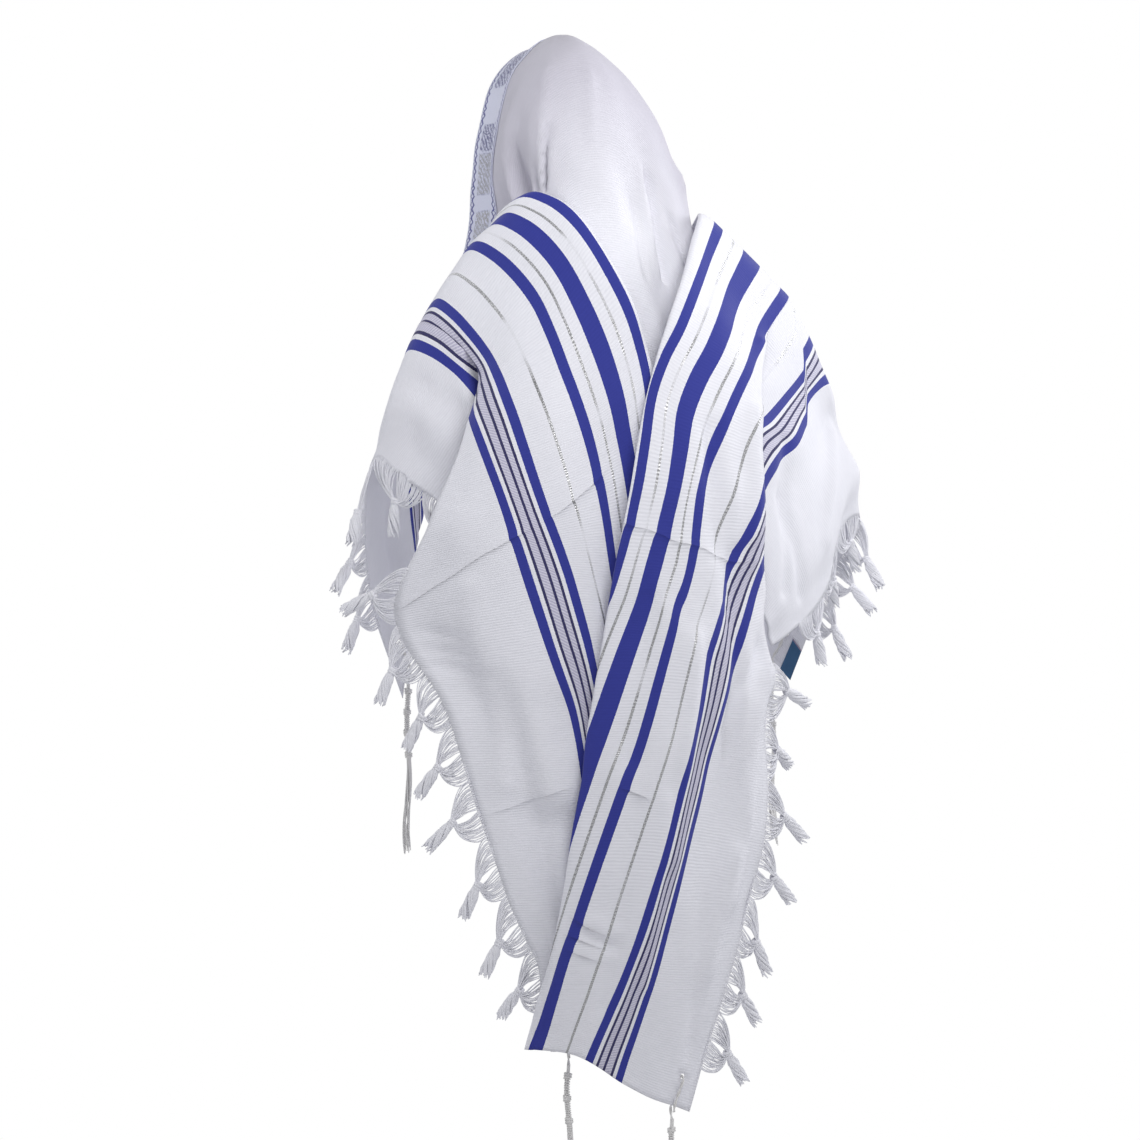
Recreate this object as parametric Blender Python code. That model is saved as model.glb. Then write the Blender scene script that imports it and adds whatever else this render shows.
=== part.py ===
"""Tallit prayer shawl worn over the head, with both striped ends thrown back over the shoulders.

Metres, +Z up. The origin is the crown of the head, inside the hood. The wearer would face +Y.
"""

import math

import bpy
import numpy as np
from mathutils.bvhtree import BVHTree

# Width of the whole cloth from its front edge to its hem, its wall, and the gap at a seam.
CLOTH_WIDTH = 1.40
WALL = 0.002
SEAM = 0.0003

# Half of the flat length that the hood and centre take of the cloth.
CENTRE_HALF = 0.46

# The neckband lies on the hood along the front edge.
BAND_WIDTH = 0.08
BAND_WALL = 0.0012
BAND_ROWS = (0, 4)
BAND_COLUMNS = (2, 25)

# The tag is sewn to the inner face of the right front corner.
TAG_WALL = 0.0008
TAG_ROWS = (0, 3)
TAG_COLUMNS = (10, 12)

# The way that threads hang.
DOWN = np.array([0.0, 0.0, -1.0])

# A stripe end turns under along its inner edge: radius and depth of the turn, and the share of
# that depth where its middle column lies.
TURN_RADIUS = 0.004
TURN_DEPTH = 0.030
TURN_MIDDLE = 0.45

# Least depth of a layer under the outer face of the one that lies on it, the same for the hood,
# how far aside and how far above a cover still presses, and how many times it is worked out.
PRESS = 0.018
HOOD_PRESS = 0.016
PRESS_ASIDE = 0.022
PRESS_ABOVE = 0.06
PRESS_STEPS = 7

# How far a plain end sinks below the stripes where the two part.
PART_SINK = 0.0038

# Width of the soft swell where the hood carries an end, and its steps.
CARRY_WIDTH = 0.05
CARRY_STEPS = 8

# Fringe: one lock for each tassel along the short edges, where two are the pitch apart and the
# shortest stretch of edge that takes one. Every row of the falls is half a pitch from the next.
FRINGE_PITCH = 0.075
FIRST_LOCK = 0.35
LOCK_STEP = 0.7
LOCK_ROOT = 0.02
ROW = 0.0375
STRIP_WIDTH = 0.006

# A lock swings this much along the edge and out from the cloth, and hangs straight from the
# distance down it where it has turned.
LOCK_SWAY = (0.34, 0.12)
LOCK_TURNED = 0.04

# Corner threads: hole, distance of the hole from both edges, radius, room and sides.
HOLE = 0.008
HOLE_INSET = 0.040
THREAD_RADIUS = 0.0019
THREAD_CLEAR = 0.0009
THREAD_SIDES = 6
OVER_EDGE = 0.004

# Colours: (red, green, blue), roughness.
WOOL = ((0.86, 0.86, 0.90), 0.85)
BAND = ((0.74, 0.76, 0.86), 0.6)
KNOTS = ((0.90, 0.90, 0.92), 0.8)
TAG = ((0.10, 0.22, 0.38), 0.5)

# Hood and centre of the cloth, right half. u is the flat distance from the centre line.
HOOD_U = (0.0, 0.1, 0.2, 0.3, 0.38, 0.46)
# Extra width of the right half, where the cloth slopes from the head to the raised shoulder.
HOOD_FLARE = (0.0, 0.008, 0.043, 0.060, 0.044, 0.019)
# One row for each section from the front edge back: (name, share of the flare, share of the
# width on the left, lean of the head to the left, points).
HOOD = (
    ("front edge", 0.15, 1.0, 0.01, (
        (0.000, 0.105, 0.002), (0.063, 0.085, -0.051), (0.096, 0.055, -0.146),
        (0.104, 0.067, -0.245), (0.112, 0.080, -0.336), (0.118, 0.094, -0.416),
    )),
    ("brow", 0.4, 1.0, 0.01, (
        (0.000, 0.060, 0.001), (0.058, 0.042, -0.054), (0.092, 0.012, -0.150),
        (0.096, 0.020, -0.248), (0.110, 0.032, -0.322), (0.126, 0.046, -0.376),
    )),
    ("crown", 0.8, 1.0, 0.01, (
        (0.000, -0.010, 0.001), (0.054, -0.010, -0.043), (0.095, -0.030, -0.150),
        (0.101, -0.035, -0.244), (0.118, -0.020, -0.306), (0.142, -0.008, -0.344),
    )),
    ("back of head", 1.0, 1.0, 0.01, (
        (0.000, -0.080, -0.024), (0.061, -0.070, -0.064), (0.100, -0.070, -0.168),
        (0.106, -0.072, -0.252), (0.130, -0.058, -0.310), (0.155, -0.042, -0.340),
    )),
    ("occiput", 1.0, 1.0, 0.009, (
        (0.000, -0.124, -0.084), (0.060, -0.112, -0.118), (0.090, -0.100, -0.208),
        (0.104, -0.098, -0.284), (0.134, -0.084, -0.334), (0.162, -0.066, -0.356),
    )),
    ("nape", 0.9, 1.0, 0.007, (
        (0.000, -0.140, -0.165), (0.055, -0.130, -0.190), (0.088, -0.120, -0.262),
        (0.112, -0.118, -0.332), (0.142, -0.100, -0.374), (0.170, -0.078, -0.394),
    )),
    ("neck", 0.6, 1.0, 0.004, (
        (0.000, -0.146, -0.245), (0.055, -0.140, -0.265), (0.096, -0.138, -0.328),
        (0.126, -0.134, -0.394), (0.154, -0.114, -0.430), (0.177, -0.088, -0.450),
    )),
    ("shoulders", 0.25, 1.0, 0.0, (
        (0.000, -0.168, -0.345), (0.058, -0.164, -0.360), (0.104, -0.158, -0.408),
        (0.138, -0.148, -0.465), (0.162, -0.126, -0.494), (0.180, -0.098, -0.514),
    )),
    ("blades", 0.0, 1.0, 0.0, (
        (0.000, -0.188, -0.470), (0.062, -0.184, -0.480), (0.110, -0.174, -0.512),
        (0.144, -0.156, -0.562), (0.166, -0.132, -0.590), (0.181, -0.102, -0.610),
    )),
    ("waist", 0.0, 0.92, 0.0, (
        (0.000, -0.186, -0.700), (0.066, -0.182, -0.702), (0.118, -0.172, -0.712),
        (0.148, -0.152, -0.734), (0.167, -0.128, -0.750), (0.180, -0.098, -0.764),
    )),
    ("hips", 0.0, 0.72, 0.0, (
        (0.000, -0.190, -0.940), (0.068, -0.186, -0.940), (0.122, -0.174, -0.940),
        (0.152, -0.152, -0.946), (0.170, -0.126, -0.952), (0.182, -0.096, -0.958),
    )),
    ("hem", 0.0, 0.45, 0.0, (
        (0.000, -0.186, -1.212), (0.068, -0.182, -1.210), (0.122, -0.170, -1.206),
        (0.152, -0.148, -1.202), (0.172, -0.122, -1.200), (0.188, -0.092, -1.198),
    )),
)

# Soft folds of the hood: from (u, v) to (u, v), width and height of the swell.
HOOD_FOLDS = (
    (-0.060, 0.21, -0.135, 0.285, 0.022, 0.006),
    (0.10, 0.16, 0.24, 0.46, 0.030, 0.006),
    (0.119, 0.34, 0.150, 0.50, 0.022, -0.006),
    (0.02, 0.40, 0.12, 0.62, 0.030, 0.006),
    (-0.12, 0.40, -0.03, 0.62, 0.030, 0.005),
)

# Left stripes, from the front edge over the shoulder and down the back. Each point is
# (u, x, y, z): its flat distance from the centre line, then where it hangs.
LEFT_BACK = (
    ("front", (
        (0.490, -0.121, 0.099, -0.430), (0.617, -0.142, 0.124, -0.560),
        (0.700, -0.160, 0.130, -0.640), (0.715, -0.164, 0.130, -0.653),
        (0.727, -0.168, 0.130, -0.665),
    )),
    ("chest", (
        (0.495, -0.127, 0.009, -0.330), (0.617, -0.155, 0.056, -0.440),
        (0.700, -0.179, 0.078, -0.505), (0.715, -0.183, 0.081, -0.518),
        (0.727, -0.188, 0.083, -0.530),
    )),
    ("shoulder", (
        (0.500, -0.085, -0.113, -0.225), (0.617, -0.147, -0.064, -0.290),
        (0.700, -0.191, -0.037, -0.361), (0.715, -0.198, -0.034, -0.374),
        (0.727, -0.204, -0.032, -0.387),
    )),
    ("blade", (
        (0.500, -0.030, -0.168, -0.278), (0.617, -0.094, -0.145, -0.365),
        (0.700, -0.147, -0.115, -0.434), (0.715, -0.154, -0.109, -0.444),
        (0.727, -0.157, -0.102, -0.453),
    )),
    ("spine", (
        (0.497, 0.017, -0.217, -0.386), (0.617, -0.068, -0.193, -0.464),
        (0.700, -0.137, -0.166, -0.494), (0.740, -0.167, -0.141, -0.508),
        (0.765, -0.178, -0.127, -0.524),
    )),
    ("waist_up", (
        (0.490, 0.045, -0.234, -0.542), (0.617, -0.038, -0.222, -0.585),
        (0.700, -0.110, -0.211, -0.614), (0.753, -0.153, -0.195, -0.624),
        (0.880, -0.226, -0.125, -0.645),
    )),
    ("waist", (
        (0.480, 0.082, -0.237, -0.733), (0.617, -0.015, -0.226, -0.726),
        (0.700, -0.073, -0.222, -0.720), (0.753, -0.122, -0.211, -0.730),
        (0.950, -0.263, -0.091, -0.761),
    )),
    ("hip", (
        (0.480, 0.093, -0.241, -0.871), (0.617, 0.004, -0.230, -0.858),
        (0.700, -0.037, -0.229, -0.869), (0.753, -0.078, -0.225, -0.875),
        (0.950, -0.211, -0.141, -0.881),
    )),
    ("thigh", (
        (0.480, 0.092, -0.243, -0.997), (0.617, 0.015, -0.232, -0.995),
        (0.700, -0.020, -0.231, -0.994), (0.753, -0.054, -0.229, -0.993),
        (0.950, -0.182, -0.170, -0.998),
    )),
    ("knee", (
        (0.480, 0.082, -0.237, -1.160), (0.617, 0.021, -0.229, -1.159),
        (0.700, -0.006, -0.228, -1.158), (0.753, -0.036, -0.227, -1.156),
        (0.950, -0.134, -0.198, -1.155),
    )),
    ("hem", (
        (0.480, 0.074, -0.229, -1.300), (0.617, 0.028, -0.226, -1.302),
        (0.700, 0.006, -0.228, -1.304), (0.753, -0.020, -0.227, -1.307),
        (0.950, -0.095, -0.208, -1.308),
    )),
)

# Left plain end, from the front corner round the arm and in under the stripes.
LEFT_ARM = (
    ("front", (
        (0.727, -0.168, 0.130, -0.665), (0.753, -0.170, 0.129, -0.690),
        (0.850, -0.180, 0.125, -0.785), (0.950, -0.190, 0.120, -0.880),
    )),
    ("chest", (
        (0.727, -0.188, 0.083, -0.530), (0.753, -0.194, 0.086, -0.555),
        (0.850, -0.222, 0.091, -0.645), (0.950, -0.244, 0.094, -0.735),
    )),
    ("shoulder", (
        (0.727, -0.204, -0.032, -0.387), (0.753, -0.217, -0.028, -0.417),
        (0.850, -0.239, -0.014, -0.494), (0.950, -0.262, 0.005, -0.562),
    )),
    ("blade", (
        (0.727, -0.157, -0.102, -0.453), (0.753, -0.162, -0.092, -0.472),
        (0.850, -0.192, -0.066, -0.531), (0.950, -0.231, -0.033, -0.591),
    )),
    ("under", (
        (0.727, -0.142, -0.113, -0.486), (0.753, -0.145, -0.107, -0.501),
        (0.850, -0.172, -0.089, -0.561), (0.950, -0.203, -0.059, -0.613),
    )),
    ("end", (
        (0.727, -0.128, -0.129, -0.524), (0.753, -0.132, -0.124, -0.542),
        (0.850, -0.154, -0.109, -0.593), (0.950, -0.181, -0.088, -0.644),
    )),
)

# Right stripes, which hang over the left ones.
RIGHT_BACK = (
    ("front", (
        (0.480, 0.125, 0.100, -0.430), (0.540, 0.146, 0.113, -0.490), (0.600, 0.167, 0.126, -0.547),
        (0.617, 0.171, 0.128, -0.556), (0.625, 0.173, 0.128, -0.562),
    )),
    ("chest", (
        (0.480, 0.134, -0.012, -0.320), (0.540, 0.170, 0.004, -0.362),
        (0.600, 0.209, 0.020, -0.408), (0.617, 0.221, 0.024, -0.420), (0.625, 0.226, 0.025, -0.426),
    )),
    ("shoulder", (
        (0.480, 0.145, -0.127, -0.242), (0.540, 0.201, -0.121, -0.278),
        (0.600, 0.259, -0.110, -0.326), (0.617, 0.272, -0.110, -0.337),
        (0.625, 0.279, -0.109, -0.344),
    )),
    ("blade", (
        (0.485, 0.109, -0.183, -0.304), (0.540, 0.148, -0.184, -0.344),
        (0.600, 0.194, -0.177, -0.386), (0.617, 0.209, -0.176, -0.397),
        (0.625, 0.215, -0.176, -0.402),
    )),
    ("spine", (
        (0.490, 0.061, -0.230, -0.391), (0.550, 0.106, -0.239, -0.421),
        (0.600, 0.151, -0.238, -0.442), (0.620, 0.169, -0.234, -0.450),
        (0.645, 0.179, -0.227, -0.468),
    )),
    ("waist_up", (
        (0.500, 0.025, -0.248, -0.477), (0.560, 0.066, -0.264, -0.502),
        (0.617, 0.119, -0.267, -0.518), (0.650, 0.147, -0.261, -0.528),
        (0.675, 0.168, -0.251, -0.538),
    )),
    ("waist", (
        (0.495, -0.002, -0.258, -0.583), (0.560, 0.046, -0.280, -0.591),
        (0.617, 0.082, -0.283, -0.596), (0.660, 0.127, -0.275, -0.602),
        (0.700, 0.168, -0.258, -0.607),
    )),
    ("hip_up", (
        (0.505, -0.024, -0.255, -0.708), (0.560, 0.013, -0.279, -0.710),
        (0.617, 0.061, -0.286, -0.712), (0.700, 0.121, -0.273, -0.711),
        (0.755, 0.175, -0.255, -0.701),
    )),
    ("hip", (
        (0.527, -0.038, -0.252, -0.793), (0.617, 0.033, -0.291, -0.795),
        (0.700, 0.089, -0.288, -0.804), (0.753, 0.130, -0.281, -0.810),
        (0.820, 0.185, -0.254, -0.799),
    )),
    ("thigh_up", (
        (0.548, -0.054, -0.246, -0.897), (0.617, 0.006, -0.284, -0.895),
        (0.700, 0.069, -0.291, -0.896), (0.753, 0.102, -0.284, -0.897),
        (0.920, 0.182, -0.247, -0.892),
    )),
    ("thigh", (
        (0.567, -0.069, -0.241, -1.001), (0.617, -0.030, -0.274, -1.000),
        (0.700, 0.040, -0.289, -1.004), (0.753, 0.072, -0.282, -1.008),
        (0.950, 0.181, -0.247, -1.032),
    )),
    ("knee", (
        (0.590, -0.093, -0.227, -1.149), (0.617, -0.075, -0.247, -1.147),
        (0.700, 0.002, -0.279, -1.146), (0.753, 0.035, -0.279, -1.148),
        (0.950, 0.149, -0.251, -1.155),
    )),
    ("hem", (
        (0.605, -0.125, -0.205, -1.304), (0.617, -0.114, -0.217, -1.303),
        (0.700, -0.062, -0.256, -1.314), (0.753, -0.024, -0.263, -1.340),
        (0.950, 0.076, -0.246, -1.387),
    )),
)

# Right plain end round the raised elbow.
RIGHT_ARM = (
    ("front", (
        (0.625, 0.173, 0.128, -0.562), (0.700, 0.207, 0.130, -0.632), (0.753, 0.231, 0.121, -0.678),
        (0.850, 0.285, 0.086, -0.775), (0.950, 0.343, 0.030, -0.860),
    )),
    ("chest", (
        (0.625, 0.226, 0.025, -0.426), (0.700, 0.272, 0.031, -0.497), (0.753, 0.301, 0.031, -0.545),
        (0.850, 0.350, 0.021, -0.630), (0.950, 0.386, 0.003, -0.730),
    )),
    ("shoulder", (
        (0.625, 0.279, -0.109, -0.344), (0.700, 0.328, -0.087, -0.411),
        (0.753, 0.355, -0.076, -0.469), (0.850, 0.384, -0.065, -0.545),
        (0.950, 0.409, -0.053, -0.634),
    )),
    ("blade", (
        (0.625, 0.215, -0.176, -0.402), (0.700, 0.278, -0.139, -0.463),
        (0.753, 0.312, -0.114, -0.488), (0.850, 0.354, -0.097, -0.573),
        (0.950, 0.363, -0.079, -0.660),
    )),
    ("under", (
        (0.625, 0.177, -0.201, -0.448), (0.700, 0.219, -0.181, -0.509),
        (0.753, 0.266, -0.161, -0.540), (0.850, 0.317, -0.126, -0.621),
        (0.950, 0.338, -0.102, -0.721),
    )),
    ("side", (
        (0.625, 0.150, -0.225, -0.523), (0.700, 0.177, -0.213, -0.544),
        (0.753, 0.209, -0.191, -0.586), (0.850, 0.271, -0.162, -0.675),
        (0.950, 0.302, -0.126, -0.763),
    )),
    ("low", (
        (0.625, 0.141, -0.227, -0.606), (0.700, 0.165, -0.220, -0.631),
        (0.753, 0.187, -0.206, -0.656), (0.850, 0.231, -0.185, -0.724),
        (0.950, 0.264, -0.155, -0.786),
    )),
    ("end", (
        (0.625, 0.141, -0.227, -0.676), (0.700, 0.161, -0.218, -0.708),
        (0.753, 0.179, -0.209, -0.740), (0.850, 0.202, -0.191, -0.766),
        (0.950, 0.224, -0.172, -0.806),
    )),
)

# Soft folds of the falls: from (u, height z) to (u, z), width and height of the swell.
LEFT_FOLDS = (
    (0.84, -0.66, 0.80, -1.10, 0.030, 0.008),
    (0.90, -0.80, 0.86, -1.15, 0.022, -0.006),
    (0.66, -0.52, 0.66, -0.95, 0.022, 0.005),
    (0.84, -0.44, 0.86, -0.56, 0.025, 0.006),
)
RIGHT_FOLDS = (
    (0.80, -0.72, 0.83, -1.08, 0.020, -0.012),
    (0.87, -0.80, 0.88, -1.20, 0.028, 0.010),
    (0.66, -0.60, 0.66, -1.10, 0.020, 0.006),
    (0.88, -0.44, 0.90, -0.68, 0.028, 0.010),
    (0.80, -0.42, 0.80, -0.60, 0.024, -0.006),
)


def hermite(knots, points, at):
    """Values at `at` of a smooth curve through the points, which lie at uneven knots."""
    knots = np.asarray(knots, float)
    points = np.asarray(points, float)
    step = np.diff(knots)
    slope = np.diff(points, axis=0) / step[:, None]
    tangent = np.empty_like(points)
    tangent[0] = slope[0]
    tangent[-1] = slope[-1]
    before = step[:-1, None]
    after = step[1:, None]
    tangent[1:-1] = (after * slope[:-1] + before * slope[1:]) / (before + after)
    cell = np.clip(np.searchsorted(knots, at, side="right") - 1, 0, len(step) - 1)
    t = ((at - knots[cell]) / step[cell])[:, None]
    size = step[cell][:, None]
    start = (1 + 2 * t) * (1 - t) ** 2 * points[cell] + t * (1 - t) ** 2 * size * tangent[cell]
    end = t * t * (3 - 2 * t) * points[cell + 1] - t * t * (1 - t) * size * tangent[cell + 1]
    return start + end


def unit(vectors):
    return vectors / np.linalg.norm(vectors, axis=-1, keepdims=True)


def lengths(points):
    """Distance along a line of points from its start to each of them."""
    return np.concatenate([[0.0], np.cumsum(np.linalg.norm(np.diff(points, axis=0), axis=1))])


def sections(table, columns):
    """Points (x, y, z, u) of every row of a table at places between its columns."""
    rows = []
    for _, points in table:
        points = np.asarray(points, float)
        u = np.interp(columns, np.arange(len(points)), points[:, 0])
        rows.append(np.column_stack([hermite(points[:, 0], points[:, 1:], u), u]))
    return np.asarray(rows)


def even_rows(knots, line, spacing, start=0.0, ends=()):
    """Places between rows, evenly apart along a line; a pair HOLE apart replaces those near
    each of `ends`, a distance along the line, or from its far end if negative."""
    fine = np.linspace(start, knots[-1], 1500)
    along = lengths(hermite(knots, line, fine))
    count = max(2, round(along[-1] / spacing))
    stops = list(np.linspace(0.0, along[-1], count + 1))
    for distance in ends:
        near = distance if distance > 0 else along[-1] + distance
        stops = [s for s in stops if abs(s - near) > spacing * 0.55 or s in (0.0, along[-1])]
        stops += [near - HOLE / 2, near + HOLE / 2]
    return np.interp(sorted(stops), along, fine)


def drape(rows, knots, at):
    """The grid at the places `at` between the rows of a table."""
    return np.stack([hermite(knots, rows[:, c], at) for c in range(rows.shape[1])], axis=1)


def swelled(grid, outside, folds):
    """Points of a grid (x, y, z, u) with its soft folds added."""
    place = grid[..., :3]
    height = folded(grid[..., 3], grid[..., 2], folds)
    return place + normals(place, outside) * height[..., None]


def pressed(grid, covers, rows=0, least=PRESS):
    """Moves a layer down wherever another lies on it, from the given row on."""
    moved = grid.copy()
    weight = np.clip((np.arange(len(grid)) - rows) / 2.0, 0.0, 1.0)[:, None, None]
    if rows == 0:
        weight[:] = 1.0
    for _ in range(PRESS_STEPS):
        push = np.zeros_like(moved)
        for top, top_normal in covers:
            flat = top.reshape(-1, 3)
            facing = top_normal.reshape(-1, 3)
            for r in range(moved.shape[0]):
                gap = moved[r][:, None, :] - flat[None, :, :]
                near = np.argmin((gap**2).sum(axis=2), axis=1)
                away = moved[r] - flat[near]
                height = (away * facing[near]).sum(axis=1)
                aside = np.linalg.norm(away - facing[near] * height[:, None], axis=1)
                depth = np.where((aside < PRESS_ASIDE) & (height < PRESS_ABOVE), height + least, 0.0)
                step = facing[near] * np.maximum(depth, 0.0)[:, None]
                larger = (step**2).sum(axis=1) > (push[r] ** 2).sum(axis=1)
                push[r][larger] = step[larger]
        padded = np.pad(push, ((1, 1), (1, 1), (0, 0)), mode="edge")
        around = (padded[:-2, 1:-1] + padded[2:, 1:-1] + padded[1:-1, :-2] + padded[1:-1, 2:]) / 4
        most = np.linalg.norm(push, axis=2) > np.linalg.norm(around, axis=2)
        moved = moved - np.where(most[..., None], push, around) * weight
    return moved


def facets(grid):
    """The points and triangles of a grid, cut across as wall() cuts them."""
    rows, columns = grid.shape[:2]
    triangles = []
    for r in range(rows - 1):
        for c in range(columns - 1):
            a = r * columns + c
            triangles += [(a, a + 1, a + columns + 1), (a, a + columns + 1, a + columns)]
    return [tuple(p) for p in grid.reshape(-1, 3)], triangles


def carrying(grid, carried):
    """Raises a sheet softly at its nearest place to the one that lies on it, until they meet."""
    tree = BVHTree.FromPolygons(*facets(carried))
    for _ in range(CARRY_STEPS):
        own = BVHTree.FromPolygons(*facets(grid))
        gaps = []
        for point in grid.reshape(-1, 3):
            found = tree.find_nearest(tuple(point))
            gaps.append((found[3], point, np.asarray(found[0]) - point))
        for point in carried.reshape(-1, 3):
            found = own.find_nearest(tuple(point))
            gaps.append((found[3], np.asarray(found[0]), point - np.asarray(found[0])))
        gap, place, way = min(gaps, key=lambda item: item[0])
        swell = np.exp(-((grid - place) ** 2).sum(axis=2) / CARRY_WIDTH**2)
        grid = grid + unit(way) * (gap - SEAM) * swell[..., None]
    return grid


def normals(grid, outside):
    """Unit normals of a grid of points, on the side of the point `outside` says is out."""
    across = np.gradient(grid, axis=1)
    down = np.gradient(grid, axis=0)
    return unit(np.cross(down, across)) * outside


def wall(name, outer, normal, thickness, colour, skip=()):
    """A closed wall below the outer points, with a rim round each open side and skipped cell."""
    rows, columns = outer.shape[:2]
    inner = outer - normal * thickness
    points = np.concatenate([outer.reshape(-1, 3), inner.reshape(-1, 3)])
    below = rows * columns
    faces = []
    edges = {}
    for r in range(rows - 1):
        for c in range(columns - 1):
            if (r, c) in skip:
                continue
            loop = [r * columns + c, r * columns + c + 1]
            loop += [(r + 1) * columns + c + 1, (r + 1) * columns + c]
            for half in ((loop[0], loop[1], loop[2]), (loop[0], loop[2], loop[3])):
                faces.append(half)
                faces.append(tuple(i + below for i in reversed(half)))
            for a, b in zip(loop, loop[1:] + loop[:1]):
                edges[(a, b)] = True
    for a, b in edges:
        if (b, a) not in edges:
            faces.append((b, a, a + below, b + below))
    solid(name, points, faces, colour)


def solid(name, points, faces, colour):
    """One mesh object with outward faces, its own material and smooth shading."""
    points = np.asarray(points, float)
    used = sorted({i for face in faces for i in face})
    new = {old: i for i, old in enumerate(used)}
    faces = [tuple(new[i] for i in face) for face in faces]
    points = points[used]
    volume = 0.0
    for face in faces:
        for k in range(1, len(face) - 1):
            a, b, c = points[face[0]], points[face[k]], points[face[k + 1]]
            volume += float(np.dot(a, np.cross(b, c)))
    if volume < 0:
        faces = [tuple(reversed(face)) for face in faces]
    mesh = bpy.data.meshes.new(name)
    mesh.from_pydata([tuple(p) for p in points], [], faces)
    mesh.polygons.foreach_set("use_smooth", [True] * len(mesh.polygons))
    mesh.update()
    material = bpy.data.materials.new(name + "_cloth")
    material.use_nodes = True
    shader = material.node_tree.nodes["Principled BSDF"]
    shader.inputs["Base Color"].default_value = (*colour[0], 1.0)
    shader.inputs["Roughness"].default_value = colour[1]
    shader.inputs["Metallic"].default_value = 0.0
    mesh.materials.append(material)
    item = bpy.data.objects.new(name, mesh)
    bpy.context.scene.collection.objects.link(item)


def folded(u, v, folds):
    """Height of the soft folds at flat coordinates u and v."""
    height = np.zeros_like(u)
    for u0, v0, u1, v1, width, swell in folds:
        du, dv = u1 - u0, v1 - v0
        size = du * du + dv * dv
        t = ((u - u0) * du + (v - v0) * dv) / size
        off = ((u - u0) * dv - (v - v0) * du) / math.sqrt(size)
        fade = np.exp(-np.maximum(0.0, np.abs(t - 0.5) - 0.5) ** 2 * size / width**2)
        height += swell * np.exp(-((off / width) ** 2)) * fade
    return height


def hood_grid(columns, rows):
    """Points and normals of the hood and centre, at flat distances from the centre and front."""
    sides = np.asarray(columns, float)
    cuts = []
    for _, share, narrow, lean, half in HOOD:
        half = np.asarray(half, float)
        right = half + np.asarray(HOOD_FLARE)[:, None] * share * np.array([1.0, 0.0, 0.0])
        left = half[:0:-1] * np.array([-narrow, 1.0, 1.0])
        knots = np.concatenate([-np.asarray(HOOD_U)[:0:-1], HOOD_U])
        whole = np.concatenate([left, right]) - np.array([lean, 0.0, 0.0])
        cuts.append(hermite(knots, whole, sides))
    cuts = np.asarray(cuts)
    centre = lengths(cuts[:, len(sides) // 2])
    knots = centre / centre[-1] * CLOTH_WIDTH
    grid = drape(cuts, knots, np.asarray(rows, float))
    u, v = np.meshgrid(sides, rows)
    return grid + normals(grid, 1.0) * folded(u, v, HOOD_FOLDS)[..., None]


def widened(grid, normal):
    """A cover carried a little past its inner edge, to keep lower layers clear of the turn."""
    past = grid[:, :1] - unit(grid[:, 1:2] - grid[:, :1]) * 3 * TURN_RADIUS
    return np.concatenate([past, grid], axis=1), np.concatenate([normal[:, :1], normal], axis=1)


def turned_edge(grid, normal):
    """Columns put before the first: the inner edge rolled under and laid back beneath."""
    inward = unit(grid[:, 1] - grid[:, 0])
    down = -normal[:, 0]
    grow = np.clip(np.linspace(0.0, 12.0, len(grid)), 0.15, 1.0)[:, None]
    centre = grid[:, 0] + down * TURN_RADIUS
    columns = []
    for depth in (TURN_DEPTH, TURN_DEPTH * TURN_MIDDLE):
        columns.append(centre + down * TURN_RADIUS + inward * depth * grow)
    for angle in (180.0, 125.0, 90.0, 45.0):
        turn = math.radians(angle)
        columns.append(centre - down * TURN_RADIUS * math.cos(turn) - inward * TURN_RADIUS
                       * math.sin(turn))
    return np.stack(columns, axis=1)


def noise(k, seed):
    """A repeatable number between -1 and 1."""
    value = math.sin(k * 12.9898 + seed * 78.233) * 43758.5453
    return 2.0 * (value - math.floor(value)) - 1.0


# Rings of one lock: (distance down it, half width, half thickness).
LOCK = (
    (0.012, 0.013, 0.0013),
    (0.024, 0.0050, 0.0022),
    (0.029, 0.0060, 0.0052),
    (0.035, 0.0042, 0.0040),
    (0.046, 0.0070, 0.0058),
    (0.066, 0.0066, 0.0054),
    (0.077, 0.0038, 0.0034),
)


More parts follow.
